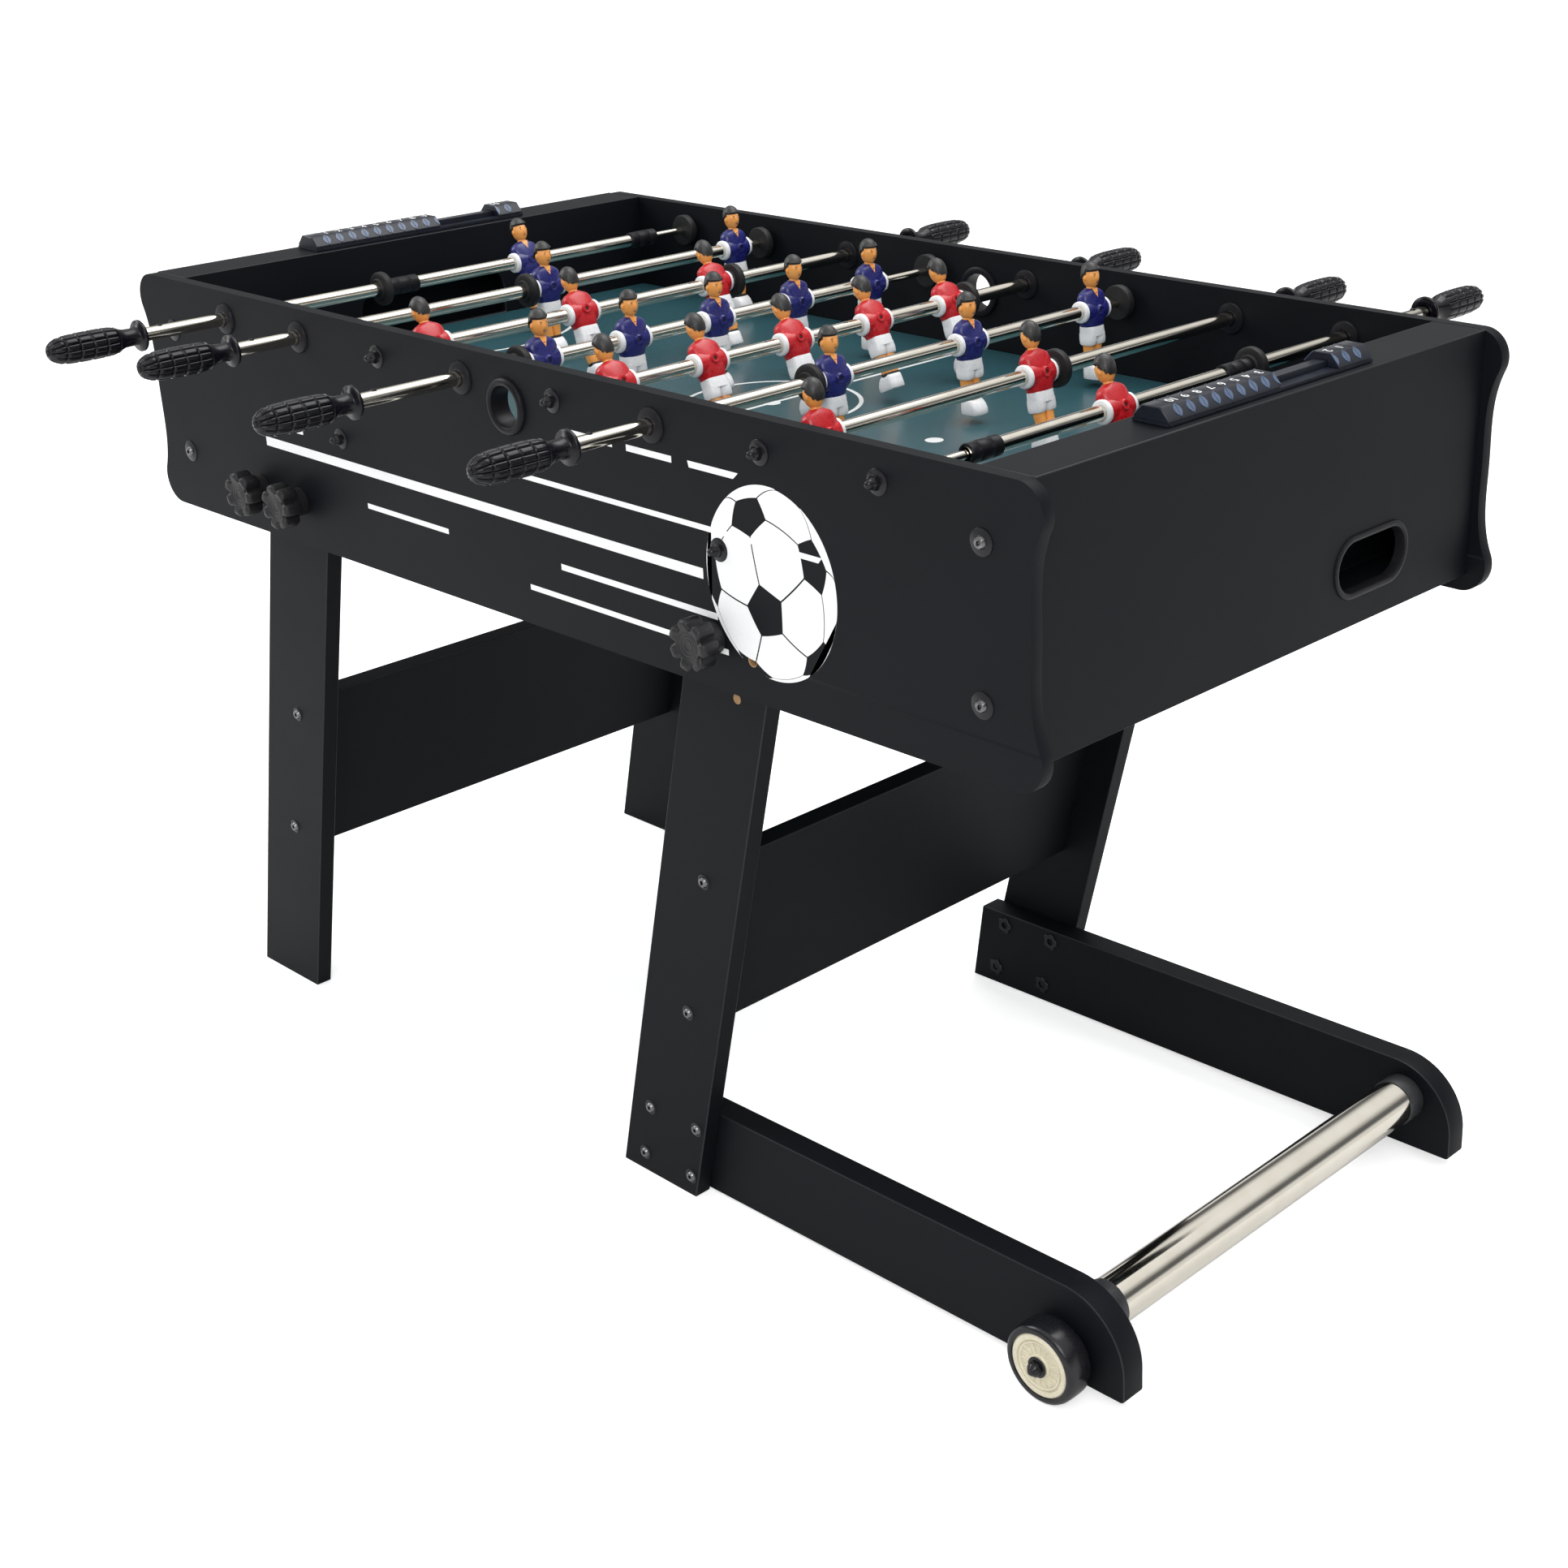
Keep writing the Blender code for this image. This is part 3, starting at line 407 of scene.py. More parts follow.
def field_marks(tree):
    """1 on the printed marks and 0 elsewhere, from the place on the board."""
    place = tree.nodes.new("ShaderNodeTexCoord")
    shift = tree.nodes.new("ShaderNodeMapping")
    shift.inputs["Location"].default_value = (-middle_x, -middle_y, 0)
    tree.links.new(place.outputs["Object"], shift.inputs["Vector"])
    axes = tree.nodes.new("ShaderNodeSeparateXYZ")
    tree.links.new(shift.outputs["Vector"], axes.inputs["Vector"])
    along = arithmetic(tree, "ABSOLUTE", axes.outputs["X"])
    side = arithmetic(tree, "ABSOLUTE", axes.outputs["Y"])

    def distance(x):
        dx = arithmetic(tree, "SUBTRACT", along, x)
        squares = arithmetic(tree, "ADD", arithmetic(tree, "MULTIPLY", dx, dx),
                             arithmetic(tree, "MULTIPLY", side, side))
        return arithmetic(tree, "SQRT", squares)

    def stroke(value, at):
        off = arithmetic(tree, "ABSOLUTE", arithmetic(tree, "SUBTRACT", value, at))
        return arithmetic(tree, "LESS_THAN", off, LINE / 2)

    marks = [stroke(distance(0.0), CIRCLE_R), stroke(along, 0.0), stroke(distance(AREA_X), AREA_R),
             arithmetic(tree, "LESS_THAN", distance(0.0), SPOT_R),
             arithmetic(tree, "LESS_THAN", distance(SPOT_X), SPOT_R)]
    total = marks[0]
    for mark in marks[1:]:
        total = arithmetic(tree, "MAXIMUM", total, mark)
    return total


field_print = finish("teal_playfield", FIELD_TEAL, FIELD_TEAL_LIGHT, (0.26, 0.36), grain=1300, patch=4,
                     bump=0.03, coat=0.15)
field_tree = field_print.node_tree
field_shader = field_tree.nodes["Principled BSDF"]
teal = field_shader.inputs["Base Color"].links[0].from_socket
printing = field_tree.nodes.new("ShaderNodeMix")
printing.data_type = "RGBA"
field_tree.links.new(field_marks(field_tree), printing.inputs["Factor"])
field_tree.links.new(teal, printing.inputs[6])
printing.inputs[7].default_value = (0.78, 0.80, 0.80, 1)
field_tree.links.new(printing.outputs[2], field_shader.inputs["Base Color"])
# The playfield's edges also take the brighter edge finish, a painted highlight.
edged_board("playfield_board", cad_shape("playfield"), "playfield", field_print, edge_painted_highlight,
            0.0005)


# ---- Panel hardware ------------------------------------------------------------------------
# Button-head bolts with a hexagon socket on broad black washers hold the side panels to the end
# boxes, and acorn nuts on small washers end the tie bolts. Each kind is set out on its own points.
steel = finish("dark_steel", (0.13, 0.13, 0.135), (0.22, 0.22, 0.225), (0.16, 0.28), grain=600,
               metallic=1.0)
black_steel = finish("black_steel", (0.004, 0.004, 0.006), (0.010, 0.010, 0.013), (0.14, 0.24), grain=900,
                     shine=0.3)
BOLT_X = 0.5474
BOLT_HIGH, BOLT_LOW = 0.743, 0.618
TIE_X, TIE_Z = 0.265, 0.679


def lathe(profile, count=32, ring=False):
    """A turned closed shape about Z. Profile entries are (radius, height) or, for a stretch with
    flat sides, (radius, height, number of sides)."""
    work = bmesh.new()
    rings = []
    for entry in profile:
        radius, height = entry[:2]
        sides = entry[2] if len(entry) > 2 else 0
        if radius == 0:
            rings.append([work.verts.new((0, 0, height))])
            continue
        loop = []
        for i in range(count):
            angle = 2 * math.pi * i / count
            reach = radius
            if sides:
                half = math.pi / sides
                reach = radius * math.cos(half) / math.cos((angle % (2 * half)) - half)
            loop.append(work.verts.new((reach * math.cos(angle), reach * math.sin(angle), height)))
        rings.append(loop)
    pairs = list(zip(rings, rings[1:]))
    if ring:
        pairs.append((rings[-1], rings[0]))
    for first, second in pairs:
        for i in range(count):
            j = (i + 1) % count
            corners = [first[i % len(first)], first[j % len(first)],
                       second[j % len(second)], second[i % len(second)]]
            kept = [c for k, c in enumerate(corners) if c not in corners[:k]]
            if len(kept) > 2:
                work.faces.new(kept)
    return outward(work, "turned", 35)


def facing(direction, where):
    """The move that turns Z to a direction and carries the origin to a place."""
    turn = Vector((0, 0, 1)).rotation_difference(Vector(direction)).to_matrix().to_4x4()
    return Matrix.Translation(where) @ turn


def turned(name, profile, where, direction, material, body, node=None, count=32, ring=False):
    """A turned piece standing along a direction from a place."""
    mesh = lathe(profile, count, ring)
    mesh.transform(facing(direction, where))
    return attach(add_mesh(name, mesh, material), body, node)


def scatter_tree():
    """Sets one piece on every point, turned to the direction that the point carries."""
    tree = bpy.data.node_groups.new("set_on_points", "GeometryNodeTree")
    for socket_name, kind in (("Points", "NodeSocketGeometry"), ("Piece", "NodeSocketObject"),
                              ("Size", "NodeSocketFloat"), ("Finish", "NodeSocketMaterial")):
        tree.interface.new_socket(socket_name, in_out="INPUT", socket_type=kind)
    tree.interface.new_socket("Set", in_out="OUTPUT", socket_type="NodeSocketGeometry")
    given = tree.nodes.new("NodeGroupInput")
    result = tree.nodes.new("NodeGroupOutput")
    info = tree.nodes.new("GeometryNodeObjectInfo")
    way = tree.nodes.new("GeometryNodeInputNamedAttribute")
    way.data_type = "FLOAT_VECTOR"
    way.inputs["Name"].default_value = "facing"
    turn = tree.nodes.new("FunctionNodeAlignRotationToVector")
    turn.axis = "Z"
    instance = tree.nodes.new("GeometryNodeInstanceOnPoints")
    real = tree.nodes.new("GeometryNodeRealizeInstances")
    paint = tree.nodes.new("GeometryNodeSetMaterial")
    tree.links.new(given.outputs["Piece"], info.inputs["Object"])
    tree.links.new(way.outputs["Attribute"], turn.inputs["Vector"])
    tree.links.new(given.outputs["Points"], instance.inputs["Points"])
    tree.links.new(info.outputs["Geometry"], instance.inputs["Instance"])
    tree.links.new(turn.outputs["Rotation"], instance.inputs["Rotation"])
    tree.links.new(given.outputs["Size"], instance.inputs["Scale"])
    tree.links.new(instance.outputs["Instances"], real.inputs["Geometry"])
    tree.links.new(real.outputs["Geometry"], paint.inputs["Geometry"])
    tree.links.new(given.outputs["Finish"], paint.inputs["Material"])
    tree.links.new(paint.outputs["Geometry"], result.inputs["Set"])
    return tree


set_on_points = scatter_tree()


def set_out(name, pattern, places, material, body, size=1.0):
    """One mesh with the pattern at every (place, direction)."""
    points = bpy.data.meshes.new(name)
    points.from_pydata([tuple(where) for where, direction in places], [], [])
    way = points.attributes.new("facing", "FLOAT_VECTOR", "POINT")
    for entry, (where, direction) in zip(way.data, places):
        entry.vector = direction
    piece = add_mesh(name, points)
    sample = add_mesh(name + "_sample", pattern)
    nodes = piece.modifiers.new("set out", "NODES")
    nodes.node_group = set_on_points
    sockets = {item.name: item.identifier for item in set_on_points.interface.items_tree}
    nodes[sockets["Piece"]] = sample
    nodes[sockets["Size"]] = size
    nodes[sockets["Finish"]] = material
    baked(piece)
    bpy.data.objects.remove(sample, do_unlink=True)
    return attach(piece, body)


button_head = lathe([(0, 0.0008, 6), (0.0018, 0.0008, 6), (0.0020, 0.0028, 6), (0.0026, 0.0032),
                     (0.0042, 0.0028), (0.0054, 0.0012), (0.0056, 0.0), (0, 0.0)], 24)
washer = lathe([(0, 0.0012), (0.0062, 0.0012), (0.0070, 0.0009), (0.0100, 0.0010), (0.0108, 0.0006),
                (0.0110, -0.0002), (0, -0.0002)], 32)
acorn = lathe([(0, 0.0118), (0.0014, 0.0116), (0.0028, 0.0106), (0.0036, 0.0090), (0.0040, 0.0070),
               (0.0046, 0.0062), (0.0052, 0.0058, 6), (0.0057, 0.0050, 6), (0.0057, 0.0016, 6),
               (0.0064, 0.0011), (0.0094, 0.0009), (0.0099, 0.0006), (0.0100, 0), (0, 0)], 36)
corners = [(Vector((middle_x + sx * BOLT_X, middle_y + side * HALF_WIDTH, z)), (0, side, 0))
           for side in (-1, 1) for sx in (-1, 1) for z in (BOLT_HIGH, BOLT_LOW)]
seated = [(where + Vector(way) * 0.0011, way) for where, way in corners]
set_out("panel_washers", washer, corners, black_steel, "cabinet")
set_out("panel_bolts", button_head, seated, steel, "cabinet")
ties = [(Vector((middle_x + sx * TIE_X, middle_y + side * HALF_WIDTH, TIE_Z)), (0, side, 0))
        for side in (-1, 1) for sx in (-1, 1)]
set_out("tie_nuts", acorn, ties, black_steel, "cabinet")


# ---- Printed ball and speed stripes -----------------------------------------------------------
# White print on the front panel: a football with dark five-sided patches and thin seams, and
# the stripes that trail behind it. The ink is a skin a tenth of a millimetre thick.
ink = finish("white_print", (0.83, 0.84, 0.85), (0.90, 0.90, 0.90), (0.38, 0.48), grain=900, patch=12,
             bump=0.03)
BALL_X, BALL_Z = 0.3235, 0.6622
BALL_WIDE, BALL_TALL = 0.0745, 0.0802
SEAM = 0.022
PATCH = 0.285
INK_T = 0.00012
FRONT = middle_y - HALF_WIDTH


def skin_over(work, loops, caps=True):
    """Four-sided faces from each loop of points to the next, with a flat cap at both ends."""
    made = [work.faces.new((low[i - 1], low[i], high[i], high[i - 1]))
            for low, high in zip(loops, loops[1:]) for i in range(len(low))]
    if caps:
        made += [work.faces.new(list(reversed(loops[0]))), work.faces.new(loops[-1])]
    return made


def ink_skin(name, outlines, raised):
    """Flat outlines in X and Z given a skin's thickness, on the outside of the front panel."""
    work = bmesh.new()
    for outline in outlines:
        skin_over(work, [[work.verts.new((middle_x + x, FRONT + lift, z)) for x, z in outline]
                         for lift in (-raised, raised)])
    attach(add_mesh(name, outward(work, name), ink), "cabinet")


def football_patches():
    """The white six-sided patches of a football seen from one side, as outlines in a unit circle."""
    golden = (1 + math.sqrt(5)) / 2
    centres = [Vector(v).normalized() for a in (-1, 1) for b in (-golden, golden)
               for v in ((0, a, b), (a, b, 0), (b, 0, a))]
    first = Vector((-0.086, -0.316, 0.945)).normalized()
    second = Vector((-0.309, 0.626, 0.716)).normalized()
    base = centres[0]
    near = min((c for c in centres if 0.4 < c.dot(base) < 0.5), key=lambda c: c.x)

    def axes(a, b):
        side = (b - a * a.dot(b)).normalized()
        return Matrix((a, side, a.cross(side))).transposed()

    turn = axes(first, second) @ axes(base, near).transposed()
    centres = [turn @ c for c in centres]
    patches = []
    for i, a in enumerate(centres):
        for j, b in enumerate(centres[i + 1:], i + 1):
            for c in centres[j + 1:]:
                if min(a.dot(b), b.dot(c), c.dot(a)) < 0.4:
                    continue
                corners = []
                for start, end in ((a, b), (b, c), (c, a)):
                    corners += [start.lerp(end, PATCH), end.lerp(start, PATCH)]
                heart = (a + b + c) / 3
                corners = [(corner + (heart - corner).normalized() * SEAM / 2).normalized()
                           for corner in corners]
                rim = []
                for start, end in zip(corners, corners[1:] + corners[:1]):
                    rim += [start.lerp(end, k / 8).normalized() for k in range(8)]
                if sum(p.z > 0 for p in rim) < 3:
                    continue
                patches.append([Vector((p.x, p.y)) if p.z > 0 else Vector((p.x, p.y)).normalized()
                                for p in rim])
    return patches


ink_skin("printed_ball", [[(BALL_X + p.x * BALL_WIDE, BALL_Z + p.y * BALL_TALL) for p in patch]
                          for patch in football_patches()], INK_T)
stripes = []
for start, end, z, thick, slant in (
        (-0.398, 0.244, 0.6545, 0.0090, 0.0), (0.005, 0.379, 0.6940, 0.0048, 0.004),
        (0.080, 0.139, 0.7440, 0.0055, 0.0), (0.157, 0.213, 0.7440, 0.0055, 0.0),
        (0.234, 0.286, 0.7440, 0.0055, 0.006), (-0.400, -0.330, 0.6740, 0.0048, 0.0),
        (-0.232, -0.105, 0.6200, 0.0050, 0.0), (0.058, 0.259, 0.6210, 0.0055, 0.0),
        (0.0115, 0.270, 0.5928, 0.0050, 0.0)):
    low, high = z - thick / 2, z + thick / 2
    stripes.append([(start, low), (end, low), (end + slant, high), (start - slant / 4, high)])
ink_skin("printed_stripes", stripes, 1.6 * INK_T)


# ---- Bushes and ball cups ----------------------------------------------------------------------
# Flanged black nylon bushes, pressed into the panel where each tube runs through, and wide
# moulded cups in the middle of both sides, where the ball is served.
nylon = finish("black_nylon", (0.005, 0.005, 0.007), (0.012, 0.012, 0.015), (0.30, 0.42), grain=1100,
               patch=20, bump=0.06, shine=0.15)
half_t = PANEL_T / 2
bush_profile = [(0.0069, half_t + 0.0032), (0.0082, half_t + 0.0036), (0.0098, half_t + 0.0032),
                (0.0118, half_t + 0.0030), (0.0142, half_t + 0.0022), (0.0152, half_t + 0.0008),
                (0.0153, half_t - 0.0003), (0.0093, half_t - 0.0004), (0.0093, -half_t + 0.0004),
                (0.0153, -half_t + 0.0003), (0.0152, -half_t - 0.0008), (0.0142, -half_t - 0.0022),
                (0.0118, -half_t - 0.0030), (0.0098, -half_t - 0.0032), (0.0082, -half_t - 0.0036),
                (0.0069, -half_t - 0.0032)]
bushes = [(Vector((rod_x[i], middle_y + side * (HALF_WIDTH - half_t), ROD_Z)), (0, side, 0))
          for side in (-1, 1) for i in range(8) if (i in BLUE_RODS) == (side < 0)]
set_out("rod_bushes", lathe(bush_profile, 40, ring=True), bushes, nylon, "cabinet")
cup_profile = [(0.0180, half_t + 0.0010), (0.0184, half_t + 0.0034), (0.0196, half_t + 0.0044),
               (0.0216, half_t + 0.0046), (0.0238, half_t + 0.0040), (0.0250, half_t + 0.0026),
               (0.0254, half_t + 0.0006), (0.0254, half_t - 0.0001), (0.0201, half_t - 0.0001),
               (0.0201, 0.0001 - half_t), (0.0254, 0.0001 - half_t), (0.0254, -half_t - 0.0006),
               (0.0250, -half_t - 0.0026), (0.0238, -half_t - 0.0034), (0.0216, -half_t - 0.0036),
               (0.0196, -half_t - 0.0034), (0.0184, -half_t - 0.0028), (0.0180, -half_t - 0.0010)]
for node, side in (("ball_cup_front", -1), ("ball_cup_rear", 1)):
    turned(node + "_ring", cup_profile, (middle_x, middle_y + side * (HALF_WIDTH - half_t), CUP_Z),
           (0, side, 0), nylon, "cabinet", node, 64, ring=True)


# ---- Chromed tubes and keepers' sleeves ---------------------------------------------------------
# Bright chromed steel tubes that carry the men, each pushed into its grip. The two keepers'
# tubes have a black sleeve near each panel, and a small screw holds every grip.
chrome = finish("bright_chrome", (0.68, 0.64, 0.55), (0.74, 0.70, 0.62), (0.08, 0.13), grain=40, patch=6,
                bump=0.0, metallic=1.0)
INNER_Y = HALF_WIDTH - PANEL_T
TUBE_R, TUBE_BORE = 0.0065, 0.0052
HUB_HALF = 0.0185
SLEEVE_REACH, SLEEVE_L = 0.1615, 0.036
TUBE_IN_GRIP = 0.048
GRIP_REACH = {1: 0.054, 2: 0.059, 3: 0.071, 5: 0.052}
GAP = 0.0003
RODS = (("blue", 1, 0.000, 0.060, -16), ("blue", 2, 0.260, 0.1170, -4), ("red", 3, 0.1755, -0.072, -24),
        ("blue", 5, 0.105, -0.010, 0), ("red", 5, 0.105, -0.029, -25), ("blue", 3, 0.1755, 0.070, -3),
        ("red", 2, 0.260, -0.112, -13), ("red", 1, 0.000, -0.032, -20))


def rod_layout(index):
    """Rod's middle, side of its handle, far end, stop beside the bumper and place of its grip."""
    team, men, spacing, where, tilt = RODS[index]
    near = -1 if team == "blue" else 1
    arms = (men - 1) / 2 * spacing + HUB_HALF
    far = -(arms + (SLEEVE_REACH if men == 1 else 0.005))
    stop = arms + (SLEEVE_REACH if men == 1 else 0.0)
    stroke = min(INNER_Y - GAP - 0.014 + far, INNER_Y - 0.0025 - stop - GAP - 0.012)
    stroke -= 0.005 if men == 1 else 0.001
    centre = Vector((rod_x[index], middle_y + where, ROD_Z))
    return centre, near, far, stop, stroke, HALF_WIDTH + GRIP_REACH[men] + stroke


for index, (team, men, spacing, where, tilt) in enumerate(RODS):
    number = index + 1
    centre, near, far, stop, stroke, grip_at = rod_layout(index)
    node = f"rod_{number}_{team}_men"
    end = grip_at + TUBE_IN_GRIP
    turned(f"rod_{number}_tube", [(TUBE_BORE, far), (0.0060, far), (TUBE_R, far + 0.0006), (TUBE_R, end),
                                  (TUBE_BORE, end)],
           centre, (0, near, 0), chrome, f"rod_{number}", node, 40, ring=True)
    set_out(f"rod_{number}_grip_screw", button_head,
            [(centre + Vector((0, near * (grip_at - 0.020), TUBE_R - 0.0006)), (0, 0, 1))],
            black_steel, f"rod_{number}", 0.5)
    if men == 1:
        for label, high in (("near", stop), ("far", far + SLEEVE_L)):
            low = high - SLEEVE_L
            turned(f"rod_{number}_sleeve_{label}",
                   [(0.0064, low), (0.0078, low), (0.0085, low + 0.0008), (0.0086, low + 0.010),
                    (0.0082, low + 0.0106), (0.0086, low + 0.0112), (0.0086, high - 0.0112),
                    (0.0082, high - 0.0106), (0.0086, high - 0.010), (0.0085, high - 0.0008),
                    (0.0078, high), (0.0064, high)],
                   centre, (0, near, 0), nylon, f"rod_{number}", ring=True)


# ---- Moulded men ---------------------------------------------------------------------------------
# Each man is one moulding round the tube: painted shirt, white shorts, wide white foot, and a plain
# toy face. A screw through the boss on the chest pins it to the tube; its dark hole is painted shade.
skin = finish("toy_skin", (0.84, 0.33, 0.070), (0.92, 0.41, 0.110), (0.30, 0.40), grain=500, patch=60,
              bump=0.04)
blue_shirt = finish("blue_shirt", (0.010, 0.012, 0.110), (0.020, 0.022, 0.170), (0.24, 0.36), grain=420,
                    patch=70, bump=0.05)
red_shirt = finish("red_shirt", (0.42, 0.006, 0.011), (0.54, 0.014, 0.022), (0.24, 0.36), grain=420,
                   patch=70, bump=0.05)
kit_white = finish("white_kit", (0.78, 0.79, 0.81), (0.88, 0.88, 0.89), (0.26, 0.36), grain=420, patch=70,
                   bump=0.05)
hair = finish("black_hair", (0.008, 0.008, 0.009), (0.030, 0.028, 0.027), (0.30, 0.45), grain=1500,
              patch=90, bump=0.6, by="Brushing")
SKIN, SHIRT, WHITE, HAIR = 0, 1, 2, 3
BORE = 0.0066


def loft(work, sections, material, count=18, power=2.3):
    """Skins a closed form over level rings (height, middle x, half depth, half width, middle y)."""
    rings = []
    for z, x0, depth, wide, y0 in sections:
        loop = []
        for i in range(count):
            a = 2 * math.pi * i / count
            c, d = math.cos(a), math.sin(a)
            loop.append(work.verts.new((x0 + depth * math.copysign(abs(c) ** (2 / power), c),
                                        y0 + wide * math.copysign(abs(d) ** (2 / power), d), z)))
        rings.append(loop)
    for face in skin_over(work, rings):
        face.material_index = material


def pressed(work, mesh, material, move):
    """Adds a finished shape to the man in one of his colours."""
    copy = mesh.copy()
    copy.transform(move)
    for face in copy.polygons:
        face.material_index = material
    work.from_mesh(copy)


def bored(work):
    """The closed form with the tube's bore cut through it along Y."""
    drill = lathe([(0, -0.03), (BORE, -0.03), (BORE, 0.03), (0, 0.03)], 28)
    drill.transform(facing((0, 1, 0), (0, 0, 0)))
    form, tool = add_mesh("bored", outward(work, "bored")), add_mesh("drill", drill)
    cut = form.modifiers.new("bore", "BOOLEAN")
    cut.operation = "DIFFERENCE"
    cut.solver = "EXACT"
    cut.object = tool
    mesh = baked(form).data
    for spent in (form, tool):
        bpy.data.objects.remove(spent, do_unlink=True)
    return mesh


def oval(work, centre, radii, material, count=20, rows=14, shape=None):
    """A rounded form; shape may pull any of its points."""
    made = set()
    for vert in bmesh.ops.create_uvsphere(work, u_segments=count, v_segments=rows, radius=1)["verts"]:
        p = shape(vert.co.copy()) if shape else vert.co
        vert.co = Vector((p.x * radii[0], p.y * radii[1], p.z * radii[2])) + Vector(centre)
        made.update(vert.link_faces)
    for face in made:
        face.material_index = material


def face_shape(p):
    """Chin, brow and a small nose on the front of the head."""
    if p.x > 0:
        p.x += 0.22 * math.exp(-((p.y / 0.16) ** 2 + ((p.z + 0.08) / 0.16) ** 2))
        p.x += 0.05 * math.exp(-((p.z - 0.22) / 0.12) ** 2)
        p.x -= 0.05 * math.exp(-((p.y / 0.4) ** 2 + ((p.z - 0.06) / 0.10) ** 2))
        p.x += 0.06 * math.exp(-((p.y / 0.25) ** 2 + ((p.z + 0.72) / 0.14) ** 2))
    p.y *= 1 - 0.08 * max(0.0, -p.z)
    return p


def hair_shape(p):
    """The cap of hair, drawn into the head below the hairline and combed to one side."""
    line = 0.40 if p.x > 0.25 else 0.40 - 1.05 * (0.25 - p.x)
    if p.z < line:
        return p * 0.78
    p *= 1 + 0.05 * math.exp(-((p.z - line) / 0.15) ** 2)
    p.z *= 1.12
    p.x *= 1 + 0.10 * max(0.0, p.z) * (p.x > 0)
    comb = 1 + 0.018 * math.sin(16 * p.y + 5 * p.x) * (1 - abs(p.z)) * 2
    return p * comb


